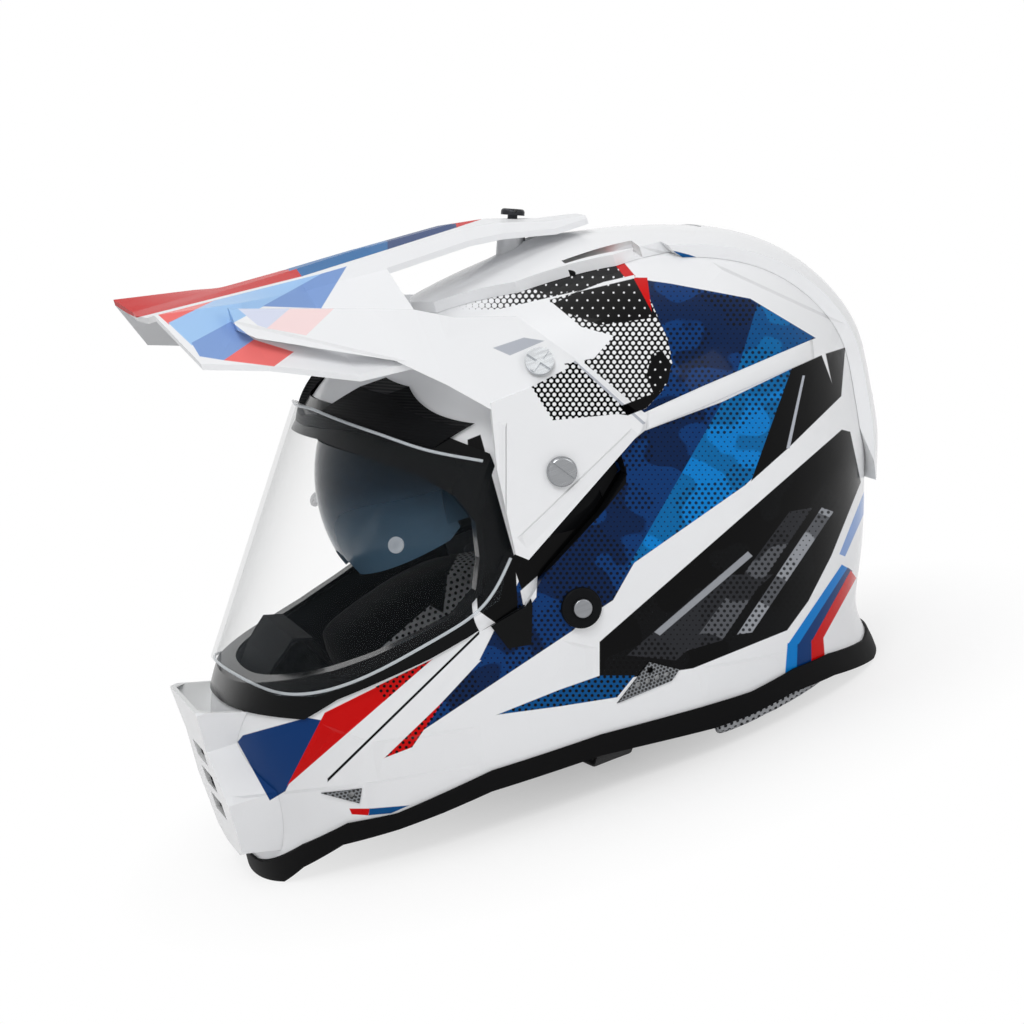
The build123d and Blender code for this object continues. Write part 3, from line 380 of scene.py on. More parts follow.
def line_side(spot: Term, start: Point, end: Point, inside: Point) -> Term:
    """Distance from a line of the picture.

    Args:
        spot: the surface's place on the picture, with a one as its third part.
        start: one point of the line.
        end: another point of it.
        inside: a point on the side where the distance is above zero.

    Returns:
        The distance, in picture units.
    """
    along = (end[0] - start[0], end[1] - start[1])
    length = math.hypot(*along)
    across = (along[1] / length, -along[0] / length)
    offset = -(across[0] * start[0] + across[1] * start[1])
    side = 1 if across[0] * inside[0] + across[1] * inside[1] + offset >= 0 else -1
    return spot.dot((side * across[0], side * across[1], side * offset))


def area(spot: Term, corners: Sequence[Point], swell: float = 0.4) -> Term:
    """Mask of a convex outline of the picture.

    Args:
        spot: the surface's place on the picture, with a one as its third part.
        corners: the outline.
        swell: how far the mask reaches past the outline, so that neighbours meet.

    Returns:
        The mask.
    """
    centre = tuple(sum(c[axis] for c in corners) / len(corners) for axis in (0, 1))
    sides = [line_side(spot, corners[number - 1], corner, centre) for number, corner in enumerate(corners)]
    return (reduce(and_, sides) + swell).step()


# --- paint


class Paint(Enum):
    """The colours of the helmet's graphics, with a grey for painted shade and pale copies of the red and blue
    for painted reflection on the peak.
    """

    WHITE = Hue("f4f5f7")
    NAVY = Hue("05224c")
    DARK_BLUE = Hue("083873")
    BLUE = Hue("04508c")
    MID_BLUE = Hue("0468a8")
    SKY = Hue("067fd0")
    RED = Hue("d00505")
    BLACK = Hue("020203")
    CHARCOAL = Hue("08090b")
    GREY = Hue("9a9da3")
    SLATE = Hue("5a5c61")
    IRON = Hue("2c2d31")
    # a grey used for painted shade along raised edges and in recesses
    SHADE = Hue("b9bdc6")
    # on the peak, these pale blues and pinks are its red and blue graphics with painted reflection of the top
    # light
    BLUE_UNDER_REFLECTION = Hue("a8cdf5")
    STEEL_BLUE = Hue("88a6da")
    RED_UNDER_REFLECTION = Hue("f47c79")
    RED_UNDER_STRONG_REFLECTION = Hue("fbe2e2")
    BLUE_UNDER_STRONG_REFLECTION = Hue("dde2f4")

    @property
    def linear(self) -> Colour:
        """The colour in linear light."""
        return self.value.linear


@dataclass(frozen=True)
class Dot:
    """The dots of a patch; lengths are in picture units.

    Attributes:
        paint: their colour.
        radius: their radius.
        cloud: what the radius gains inside the second camouflage.
        fade: what the radius loses with each unit to the right.
        sparse: whether they stand on the wider lattice.
        strength: how far they cover the patch.
    """

    paint: Paint
    radius: float
    cloud: float = 0.0
    fade: float = 0.0
    sparse: bool = False
    strength: float = 1.0


class Dots(Enum):
    """How a patch is dotted."""

    DARK = Dot(Paint.BLACK, 1.6)
    DARK_CAMO = Dot(Paint.BLACK, 0.75, cloud=0.85, strength=0.9)
    LIGHT = Dot(Paint.WHITE, 1.95)
    LIGHT_FADE = Dot(Paint.WHITE, 3.6, fade=0.022)
    SPARSE = Dot(Paint.WHITE, 0.95, sparse=True)


class Carrier(Enum):
    """What a patch is painted on."""

    SHELL = "shell"
    PEAK = "peak"
    BOTH = "both"
    FAR_PEAK = "far side of the peak"
    CROWN = "mouldings on the crown"


@dataclass(frozen=True)
class Patch:
    """One painted patch: the corners of a convex outline on the picture, its colours and dots."""

    corners: tuple[Point, ...]
    paint: Paint
    carrier: Carrier = Carrier.SHELL
    second: Paint | None = None
    dots: Dots | None = None


@dataclass(frozen=True)
class Crease:
    """A fold in a panel: a short rise at a line of the picture and a long slope below it."""

    start: Point
    end: Point
    carrier: Carrier = Carrier.SHELL
    rise: float = 3.0
    slope: float = 42.0
    fade: float = 14.0


PATCHES: tuple[Patch, ...] = (
    # upper side: dark blue field and its brighter end
    Patch(((634, 277), (671, 284), (742, 294), (815, 338), (645, 412), (600, 425), (585, 300)),
          Paint.DARK_BLUE, second=Paint.NAVY, dots=Dots.DARK_CAMO),
    Patch(((758, 304), (813, 337), (807, 342), (738, 371)),
          Paint.MID_BLUE, second=Paint.BLUE, dots=Dots.DARK_CAMO),
    # white dots on black, behind the peak's side
    Patch(((550, 300), (634, 277), (650, 300), (668, 341), (672, 364), (662, 391), (646, 408), (628, 415),
           (560, 360)), Paint.BLACK, Carrier.BOTH, dots=Dots.LIGHT),
    Patch(((550, 306), (600, 280), (638, 278), (652, 307), (656, 317), (600, 325)), Paint.BLACK, Carrier.BOTH,
          dots=Dots.SPARSE),
    Patch(((441, 309), (506, 275), (561, 254), (608, 255), (628, 279), (602, 285), (558, 299), (524, 309)),
          Paint.BLACK, Carrier.BOTH, dots=Dots.LIGHT_FADE),
    Patch(((530, 287), (561, 257), (608, 255), (626, 278), (600, 284), (556, 297)), Paint.BLACK, Carrier.BOTH,
          dots=Dots.SPARSE),
    Patch(((608, 255), (617, 255), (635, 276), (626, 278)), Paint.RED, Carrier.BOTH),
    Patch(((634, 278), (647, 278), (651, 309)), Paint.RED, Carrier.BOTH),
    Patch(((558, 297), (584, 287), (634, 275.5), (634, 278), (584, 290), (558, 300)),
          Paint.WHITE, Carrier.BOTH),
    Patch(((540, 300), (552, 303), (582, 328), (585, 360), (560, 364), (540, 345)), Paint.WHITE, Carrier.BOTH),
    Patch(((580, 327), (613, 336), (594, 358), (570, 362)), Paint.WHITE, Carrier.BOTH),
    Patch(((575, 361), (580, 360), (649, 417), (645, 423)), Paint.WHITE, Carrier.BOTH),
    # painted shadow along the lower side of the pod's raised white edge
    Patch(((574, 362), (575, 361), (645, 423), (643, 424)), Paint.SHADE, Carrier.BOTH),
    # blue slot of the crown moulding
    Patch(((673, 251), (689, 255), (735, 271), (704, 271)), Paint.BLUE, Carrier.CROWN),
    Patch(((652, 354), (662, 351), (671, 364), (668, 382), (655, 396), (647, 376)), Paint.BLACK, Carrier.BOTH,
          dots=Dots.SPARSE),
    Patch(((606, 412), (640, 399), (662, 391), (646, 408), (628, 415)), Paint.BLACK, Carrier.BOTH),
    # dotted side of the pod
    Patch(((577, 364), (625, 413), (553, 420), (532, 387)), Paint.BLACK, Carrier.PEAK, dots=Dots.LIGHT),
    # lower side: dark blue, bright blue, black wedge
    Patch(((645, 431), (723, 402), (709, 430), (610, 605), (573, 626), (521, 660), (480, 660), (560, 500)),
          Paint.DARK_BLUE, second=Paint.NAVY, dots=Dots.DARK_CAMO),
    Patch(((412, 747), (441, 704), (479, 663), (560, 590), (612, 604), (573, 630), (480, 727), (464, 731)),
          Paint.DARK_BLUE, second=Paint.NAVY, dots=Dots.DARK_CAMO),
    Patch(((723, 402), (792, 369), (772, 430), (755, 478), (745, 485), (656, 569), (607, 605)),
          Paint.MID_BLUE, second=Paint.SKY, dots=Dots.DARK_CAMO),
    Patch(((792, 369), (823, 355), (845, 348), (841, 396), (789, 447), (752, 480)), Paint.BLACK),
    Patch(((803, 376), (804.5, 376), (789.5, 448), (787, 448)), Paint.SHADE),
    Patch(((821, 352), (825, 352), (830, 376)), Paint.WHITE),
    # dark lower rear panel
    Patch(((600, 642), (842, 430), (850, 432), (863, 493), (831, 556), (819, 586), (787, 630), (693, 668),
           (632, 677), (600, 677)), Paint.CHARCOAL, second=Paint.BLACK, dots=Dots.DARK_CAMO),
    Patch(((628, 655), (720, 575), (772, 575), (676, 660)), Paint.IRON, dots=Dots.DARK_CAMO),
    Patch(((688, 650), (790, 512), (812, 508), (722, 640)),
          Paint.SLATE, second=Paint.IRON, dots=Dots.DARK_CAMO),
    Patch(((738, 634), (822, 508), (833, 512), (752, 632)),
          Paint.GREY, second=Paint.SLATE, dots=Dots.DARK_CAMO),
    Patch(((655, 632), (748, 552), (752, 556), (660, 635)), Paint.GREY),
    Patch(((500, 714), (560, 690), (600, 676), (634, 676), (617, 697), (560, 706)), Paint.BLUE, dots=Dots.DARK),
    # rear stripes
    Patch(((842, 565), (849, 569), (798, 646), (788, 645)), Paint.SKY),
    Patch(((788, 643.5), (798, 644.5), (797, 676), (785, 681)), Paint.SKY),
    Patch(((848, 568), (852, 571), (812, 642), (798, 646)), Paint.DARK_BLUE),
    Patch(((798, 644.5), (812, 640.5), (812, 669), (797, 676)), Paint.DARK_BLUE),
    Patch(((851, 571), (856, 578), (823, 638), (812, 642)), Paint.RED),
    Patch(((812, 640.5), (823, 636.5), (825, 663), (812, 669)), Paint.RED),
    Patch(((876, 462), (882, 472), (845, 556), (840, 554)), Paint.STEEL_BLUE),
    # black between the frame and the pod, the plate below the pod and the white patch at its foot
    Patch(((468, 440), (508, 424), (515, 560), (532, 621), (526, 628), (505, 629), (478, 610)), Paint.BLACK),
    Patch(((511, 558), (626, 466), (626, 483), (606, 508), (559, 558), (523, 592)), Paint.BLACK),
    Patch(((521, 591), (537, 577), (536, 597), (525, 611)), Paint.WHITE),
    # chin
    Patch(((264, 710), (307, 718), (325, 713), (285, 791), (270, 800), (238, 742)), Paint.DARK_BLUE),
    Patch(((325, 713), (430, 661), (384, 701), (285, 791)), Paint.RED),
    Patch(((376, 687), (430, 661), (384, 701)), Paint.RED, dots=Dots.DARK),
    Patch(((386, 757), (441, 704), (412, 747)), Paint.RED, dots=Dots.DARK),
    Patch(((350, 809), (370, 809), (368, 815), (352, 814)), Paint.RED),
    Patch(((370, 809), (407, 806), (391, 813), (369, 815)), Paint.BLUE),
    Patch(((328, 778.6), (479, 631.8), (479, 634), (328, 781.2)), Paint.CHARCOAL),
    # near side of the peak: its red and blue graphics in pale copies, painted reflection of the top light
    Patch(((159, 315), (214, 301), (169, 324)), Paint.RED_UNDER_REFLECTION, Carrier.PEAK),
    Patch(((169, 323), (214, 301), (322, 274), (192, 345)), Paint.BLUE_UNDER_REFLECTION, Carrier.PEAK),
    Patch(((192, 343), (231, 322), (254, 340), (225, 360), (200, 356)), Paint.STEEL_BLUE, Carrier.PEAK),
    Patch(((264, 306), (322, 274), (346, 267), (321, 308)), Paint.STEEL_BLUE, Carrier.PEAK),
    Patch(((225, 360), (254, 340), (293, 352), (274, 366)), Paint.RED_UNDER_REFLECTION, Carrier.PEAK),
    Patch(((239, 309), (290, 309), (268, 328), (258, 325)), Paint.BLUE_UNDER_STRONG_REFLECTION, Carrier.PEAK),
    Patch(((290, 309), (333, 309), (306, 335), (268, 328)), Paint.RED_UNDER_STRONG_REFLECTION, Carrier.PEAK),
    Patch(((100, 325), (138, 317), (302, 276), (289, 258), (100, 300)), Paint.RED, Carrier.PEAK),
    Patch(((302, 276), (388, 249), (388, 228), (289, 258)), Paint.MID_BLUE, Carrier.PEAK),
    Patch(((388, 249), (457, 227), (453, 208), (388, 228)), Paint.DARK_BLUE, Carrier.PEAK),
    Patch(((457, 227), (481, 219), (478, 203), (453, 208)), Paint.RED, Carrier.PEAK),
    # painted shade in the recessed slot by the wing screw and in the notch where the blade meets the pod
    Patch(((494, 348), (524, 338), (543, 341), (510, 355)), Paint.SHADE, Carrier.PEAK),
    Patch(((521, 313), (535, 313), (531, 323)), Paint.GREY, Carrier.PEAK),
    # far side of the peak
    Patch(((100, 300), (173, 280), (289, 270), (291, 279), (239, 292), (138, 318)),
          Paint.RED, Carrier.FAR_PEAK),
    Patch(((289, 268), (386, 238), (388, 248), (291, 280)), Paint.MID_BLUE, Carrier.FAR_PEAK),
    Patch(((386, 238), (452, 220), (453, 229), (388, 248)), Paint.DARK_BLUE, Carrier.FAR_PEAK),
    Patch(((452, 220), (474, 214), (474, 223), (453, 229)), Paint.RED, Carrier.FAR_PEAK),
)

CREASES: tuple[Crease, ...] = (
    Crease((697, 668), (787, 651)),
    Crease((561, 640), (598, 648)),
    Crease((322, 724), (372, 742)),
    Crease((372, 742), (480, 726)),
    Crease((232, 797), (364, 783)),
    Crease((364, 783), (480, 763)),
    Crease((434, 299), (523, 272), Carrier.PEAK),
    Crease((228, 319), (407, 361), Carrier.PEAK),
    Crease((640, 246), (714, 262), Carrier.CROWN),
    Crease((712, 262), (846, 324)),
    Crease((712, 262), (846, 324), Carrier.CROWN),
    Crease((517, 538), (632, 428), Carrier.PEAK, 2.0, 14.0, 6.0),
    Crease((507, 422), (507, 520), Carrier.PEAK, 2.0, 8.0, 6.0),
)


# --- finishes


@dataclass(frozen=True)
class Finish:
    """A named look with one main colour."""

    name: str
    hue: Hue

    def paint(self, shader: Shader) -> None:
        """Feeds the shader's surface.

        Args:
            shader: the shader.
        """
        raise NotImplementedError

    def make(self) -> Shader:
        """The finished shader."""
        shader = Shader(self.name)
        self.paint(shader)
        return shader

    def dress(self, *names: str) -> None:
        """Gives the finish to the CAD nodes of those names."""
        self.make().dress(*(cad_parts[name] for name in names))
        log.info("%s: on %s", self.name, ", ".join(names))


@dataclass(frozen=True)
class Livery(Finish):
    """Gloss paint with the helmet's graphics; its own colour is the one inside."""

    carriers: tuple[Carrier, ...]
    far: tuple[Carrier, ...] = ()
    fine_pitch: Point = (6.3, 9.4)
    sparse_pitch: Point = (10.4, 15.4)
    fade_from: float = 450.0
    camo_size: float = 0.016
    camo_level: float = 0.5
    camo_edge: float = 60.0
    camo_squash: float = 1.25
    cloud_size: float = 0.0128
    cloud_level: float = 0.48
    cloud_shift: Spot = (311.0, 97.0, 0.0)
    crease_depth: float = 0.0011
    coat: float = 0.22
    shine: float = 0.06
    middle: Spot = (0.0, 0.0, 0.13)
    outward_edge: float = 150.0
    sideward_edge: float = 40.0
    sideward_from: float = -0.02
    dull: float = 0.5
    polish: float = 0.28

    def tools(self, shader: Shader, across: Term, down: Term) -> dict[str, Term]:
        """The masks that the patches share.

        Args:
            shader: the shader that they are made in.
            across: the surface's place across the picture.
            down: its place down the picture.

        Returns:
            The place across, the distances from both lattices, and the camouflage's two masks.
        """
        flat = shader.join(across, down * self.camo_squash, 0.0)
        other = shader.vectors("ADD", flat, self.cloud_shift)
        return {
            "across": across,
            "fine": lattice(across, down, self.fine_pitch),
            "sparse": lattice(across, down, self.sparse_pitch),
            "camo": (shader.noise(self.camo_size, 1.0, flat) - self.camo_level).step(self.camo_edge),
            "cloud": (shader.noise(self.cloud_size, 1.0, other) - self.cloud_level).step(self.camo_edge),
        }

    def patch_colour(self, patch: Patch, tools: dict[str, Term]) -> Term | Colour:
        """The colour of a patch with its dots.

        Args:
            patch: the patch.
            tools: the shared masks.

        Returns:
            The colour.
        """
        colour: Term | Colour = patch.paint.linear
        if patch.second:
            colour = tools["camo"].blend(colour, patch.second.linear)
        if patch.dots is None:
            return colour
        dot = patch.dots.value
        radius: Amount = dot.radius
        if dot.cloud:
            radius = tools["cloud"] * dot.cloud + dot.radius
        if dot.fade:
            radius = dot.radius - (tools["across"] - self.fade_from) * dot.fade
        shown = (radius - tools["sparse" if dot.sparse else "fine"]).step() * dot.strength
        return shown.blend(colour, dot.paint.linear)

    def layers(self, carriers: Sequence[Carrier], colour: Term | Colour, spot: Term, tools: dict[str, Term],
               limit: Term | None = None) -> Term | Colour:
        """Lays the carriers' patches over a colour, in their order.

        Args:
            carriers: whose patches are laid.
            colour: what lies below them.
            spot: the surface's place on the picture.
            tools: the shared masks.
            limit: a mask outside which nothing is painted.

        Returns:
            The new colour.
        """
        for patch in (patch for patch in PATCHES if patch.carrier in carriers):
            mask = area(spot, patch.corners)
            colour = (mask & limit if limit else mask).blend(colour, self.patch_colour(patch, tools))
        return colour

    def paint(self, shader: Shader) -> None:
        """Feeds the shader's surface.

        Args:
            shader: the shader.
        """
        east, north, high = shader.place.parts()
        across, down, spot = VIEW.plane(shader.join(east.size(), north, high))
        tools = self.tools(shader, across, down)
        white = Paint.WHITE.linear
        colour = self.sideward(shader, east).blend(white, self.layers(self.carriers, white, spot, tools))
        far_spot = VIEW.plane(shader.place)[2]
        colour = self.layers(self.far, colour, far_spot, tools, (0 - east).step(METRE_EDGE))
        away = shader.vectors("SUBTRACT", shader.place, self.middle)
        outward = shader.vectors("DOT_PRODUCT", shader.normal, away, socket=1).step(self.outward_edge)
        shader.feed(Base_Color=outward.blend(self.hue.linear, colour),
                    Roughness=shader.sprayed(self.dull) - outward * self.polish)
        shader.lacquer(outward * self.coat, self.shine)
        self.press(shader, spot)

    def sideward(self, shader: Shader, east: Term) -> Term:
        """Mask of the surfaces that the picture shows, or would show of the other side.

        Args:
            shader: the shader that it is made in.
            east: the surface's place from the middle to the left.

        Returns:
            The mask.
        """
        across, along, rise = shader.normal.parts()
        turned = shader.join(across * shader.maths("SIGN", east), along, rise)
        return (turned.dot(VIEW.back) - self.sideward_from).step(self.sideward_edge)

    def press(self, shader: Shader, spot: Term) -> None:
        """Presses the creases of the livery's carriers into the surface.

        Args:
            shader: the shader whose normal they are fed to.
            spot: the surface's place on the picture.
        """
        folds = []
        for crease in (crease for crease in CREASES if crease.carrier in self.carriers):
            (left, top), (right, low) = crease.start, crease.end
            length = math.hypot(right - left, low - top)
            way = ((right - left) / length, (low - top) / length)
            below = (left - way[1] * crease.slope, top + way[0] * crease.slope)
            away = line_side(spot, crease.start, crease.end, below)
            along = spot.dot((way[0], way[1], -way[0] * left - way[1] * top))
            ends = (along / crease.fade) & ((length - along) / crease.fade)
            rise = (away / crease.rise) & (1 - away / crease.slope)
            folds.append((rise & ends).share())
        if folds:
            shader.bump(reduce(or_, folds), self.crease_depth)


@dataclass(frozen=True)
class Gloss(Finish):
    """Plain gloss paint."""

    shade: float = 0.94
    roughness: float = 0.2
    coat: float = 0.22
    shine: float = 0.06

    def paint(self, shader: Shader) -> None:
        """Feeds the shader's surface.

        Args:
            shader: the shader.
        """
        shader.feed(Base_Color=shader.noise(6.0).blend(self.hue.tint(self.shade), self.hue.linear),
                    Roughness=shader.sprayed(self.roughness))
        shader.lacquer(self.coat, self.shine)


@dataclass(frozen=True)
class Moulded(Finish):
    """Plain or ribbed moulded plastic and rubber, with a fine grain."""

    roughness: float
    grain: float = 2200.0
    grain_depth: float = 0.000015
    ribs: Spot | None = None
    rib_pitch: float = 0.0013
    rib_depth: float = 0.00005
    shine: float = 0.06
    wear_scale: float = 14.0
    wear_share: float = 0.7
    wear_spread: float = 0.14

    def paint(self, shader: Shader) -> None:
        """Feeds the shader's surface.

        Args:
            shader: the shader.
        """
        wear = shader.noise(self.wear_scale, 3.0)
        worn = self.hue.tint(1.4, 0.002)
        shader.feed(Base_Color=(wear * self.wear_share).blend(self.hue.linear, worn),
                    Roughness=wear * self.wear_spread + (self.roughness - self.wear_spread / 2),
                    Specular_IOR_Level=self.shine)
        if self.ribs:
            phase = shader.place.dot(self.ribs) * (math.tau / self.rib_pitch)
            shader.bump(phase.wave(), self.rib_depth)
        shader.bump(shader.noise(self.grain, 1.0), self.grain_depth)


@dataclass(frozen=True)
class Pane(Finish):
    """Clear or tinted plastic that is seen through."""

    clear: float
    edge: float
    low_hue: Hue | None = None
    low_height: float = 0.112
    high_height: float = 0.172
    shine: float = 0.3
    roughness: float = 0.03
    facing: float = 0.35

    def paint(self, shader: Shader) -> None:
        """Feeds the shader's surface.

        Args:
            shader: the shader.
        """
        turned = shader.made("ShaderNodeLayerWeight", {"Blend": self.facing}, "Facing")
        haze = shader.noise(4.0)
        colour = haze.blend(self.hue.linear, self.hue.tint(1.15, 0.01))
        if self.low_hue:
            rise = (shader.place.parts()[2] - self.low_height) / (self.high_height - self.low_height)
            colour = rise.share().blend(self.low_hue.linear, colour)
        shader.feed(Alpha=turned * turned * turned * (self.edge - self.clear) + self.clear, Base_Color=colour,
                    Roughness=haze * 0.03 + self.roughness, Specular_IOR_Level=self.shine)


@dataclass(frozen=True)
class Metal(Finish):
    """Cast or turned metal with fine brush lines and worn spots, plain or punched with rows of holes."""

    roughness: float
    brush: Spot = (60.0, 60.0, 960.0)
    holes: float = 0.0
    hole_pitch: Point = (0.0019, 0.0019 * ROW_GAP)
    hole_depth: float = 0.0006
    brush_depth: float = 0.00005

    def paint(self, shader: Shader) -> None:
        """Feeds the shader's surface.

        Args:
            shader: the shader.
        """
        lines = shader.noise(1.0, 2.0, shader.vectors("MULTIPLY", shader.place, self.brush))
        colour, solid = lines.blend(self.hue.tint(0.7), self.hue.linear), 1.0
        if self.holes:
            solid = (lattice(*shader.place.parts()[1:], self.hole_pitch) - self.holes).step(METRE_EDGE)
            colour = solid.blend(Paint.BLACK.linear, colour)
            shader.bump(solid, self.hole_depth)
        shader.feed(Base_Color=colour, Metallic=solid, Roughness=lines * 0.15 + (self.roughness - 0.07))
        shader.bump(lines, self.brush_depth)


@dataclass(frozen=True)
class MeshCloth(Finish):
    """Spacer mesh: rows of small holes in knitted cloth, all over or in panels drawn on the picture."""

    hole: Hue = Hue("2b2c2f")
    pitch: Point = (0.0034, 0.0034 * ROW_GAP)
    hole_radius: float = 0.00085
    hole_depth: float = 0.0007
    knit_scale: float = 900.0
    knit_depth: float = 0.0002
    turn_edge: float = 1000.0
    panels: tuple[tuple[Point, ...], ...] = ()
    border: Hue = Hue("0e0f11")

    def flat(self, shader: Shader) -> tuple[Term, Term]:
        """Two coordinates along the cloth, from the side that the surface faces most.

        Args:
            shader: the shader that they are made in.

        Returns:
            The first and the second coordinate.
        """
        east, north, high = shader.place.parts()
        face_x, face_y, face_z = (part.size() for part in shader.normal.parts())
        sideways = (face_x - (face_y | face_z)).step(self.turn_edge)
        upward = (face_z - face_y).step(self.turn_edge)
        first = sideways * north + (1 - sideways) * east
        second = sideways * high + (1 - sideways) * (upward * north + (1 - upward) * high)
        return first, second

    def paint(self, shader: Shader) -> None:
        """Feeds the shader's surface.

        Args:
            shader: the shader.
        """
        mask = (self.hole_radius - lattice(*self.flat(shader), self.pitch)).step(METRE_EDGE)
        knit = shader.noise(self.knit_scale)
        colour = mask.blend(knit.blend(self.hue.linear, self.hue.tint(1.25)), self.hole.linear)
        if self.panels:
            east, north, high = shader.place.parts()
            spot = VIEW.plane(shader.join(0 - east.size(), north, high))[2]
            inner = reduce(or_, [area(spot, corners) for corners in self.panels])
            colour = inner.blend(self.border.linear, colour)
            mask = mask & inner
        shader.feed(Base_Color=colour, Roughness=0.92, Sheen_Weight=0.12, Specular_IOR_Level=0.1)
        shader.bump(1 - mask, self.hole_depth)
        shader.bump(knit, self.knit_depth)


@dataclass(frozen=True)
class Foam(Finish):
    """Moulded bead foam."""

    bead: float = 260.0
    bead_depth: float = 0.0004

    def paint(self, shader: Shader) -> None:
        """Feeds the shader's surface.

        Args:
            shader: the shader.
        """
        inputs = {"Vector": shader.place, "Scale": self.bead}
        apart = shader.made("ShaderNodeTexVoronoi", inputs, "Distance")
        shader.feed(Base_Color=apart.blend(self.hue.tint(1.6, 0.01), self.hue.linear),
                    Roughness=apart * 0.2 + 0.75, Specular_IOR_Level=0.1)
        shader.bump(1 - apart, self.bead_depth)


@dataclass(frozen=True)
class Woven(Finish):
    """Webbing: crossing yarns on the strap's own map, across and along in metres."""

    yarn: float = 0.0011
    yarn_depth: float = 0.00025

    def paint(self, shader: Shader) -> None:
        """Feeds the shader's surface.

        Args:
            shader: the shader.
        """
        across, along, _ = shader.made("ShaderNodeUVMap", uv_map="cloth").parts()
        tau = math.tau / self.yarn
        weave = (across * tau).wave() * (along * tau * 0.5).wave()
        ridge = (along * tau * 0.5 + across * tau).wave()
        colour = (weave * 0.4 + 0.4).blend(self.hue.linear, self.hue.tint(2.2, 0.01))
        shader.feed(Base_Color=colour, Roughness=0.8)
        shader.bump(weave + ridge, self.yarn_depth)


# --- meshes


def link(name: str, data: bpy.types.ID) -> bpy.types.Object:
    """A new object in the scene.

    Args:
        name: its name.
        data: its mesh, curve, camera or lamp.

    Returns:
        The object.
    """
    piece = bpy.data.objects.new(name, data)
    bpy.context.scene.collection.objects.link(piece)
    return piece


def finished(piece: bpy.types.Object, *shaders: Shader) -> bpy.types.Object:
    """Shades a piece smoothly and reports it.

    Args:
        piece: the piece.
        shaders: its material, where it has none yet.

    Returns:
        The same piece.
    """
    piece.data.shade_smooth()
    for shader in shaders:
        shader.dress(piece)
    log.info("%s: %d faces", piece.name, len(piece.data.polygons))
    return piece


def plain(piece: bpy.types.Object) -> bpy.types.Mesh:
    """A plain mesh of the piece as its modifiers or its bevel make it."""
    return bpy.data.meshes.new_from_object(piece.evaluated_get(bpy.context.evaluated_depsgraph_get()))


def baked(piece: bpy.types.Object) -> None:
    """Turns the piece's modifiers into plain mesh."""
    mesh = plain(piece)
    piece.modifiers.clear()
    piece.data = mesh


def surface_tree(node: str) -> BVHTree:
    """A CAD node's surface, to cast rays on."""
    return BVHTree.FromObject(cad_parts[node], bpy.context.evaluated_depsgraph_get())


@contextmanager
def editing(mesh: bpy.types.Mesh) -> Iterator[bmesh.types.BMesh]:
    """Opens a mesh for editing, and writes it back at the end.

    Args:
        mesh: the mesh.

    Yields:
        Its form to edit.
    """
    build = bmesh.new()
    build.from_mesh(mesh)
    yield build
    build.to_mesh(mesh)
    build.free()


def tube_mesh(name: str, rings: Sequence[Sequence[Vector]],
              chart: Sequence[Sequence[Point]] = ()) -> bpy.types.Mesh:
    """A closed mesh through equal rings of points, with flat ends.

    Args:
        name: the mesh's name.
        rings: the points of each ring, in order round it.
        chart: the place of each point on the piece's map, with one more than the points in a ring.

    Returns:
        The mesh.
    """
    mesh = bpy.data.meshes.new(name)
    with editing(mesh) as build:
        rows = [[build.verts.new(point) for point in ring] for ring in rings]
        layer = build.loops.layers.uv.new("cloth")
        for row, (near, next_row) in enumerate(zip(rows, rows[1:])):
            for place in range(len(near)):
                after = (place + 1) % len(near)
                face = build.faces.new((near[place], near[after], next_row[after], next_row[place]))
                if chart:
                    low, high = chart[row], chart[row + 1]
                    spots = (low[place], low[place + 1], high[place + 1], high[place])
                    for loop, spot in zip(face.loops, spots):
                        loop[layer].uv = spot
        build.faces.new(list(reversed(rows[0])))
        build.faces.new(rows[-1])
        bmesh.ops.recalc_face_normals(build, faces=build.faces)
    return mesh


# --- soft pieces


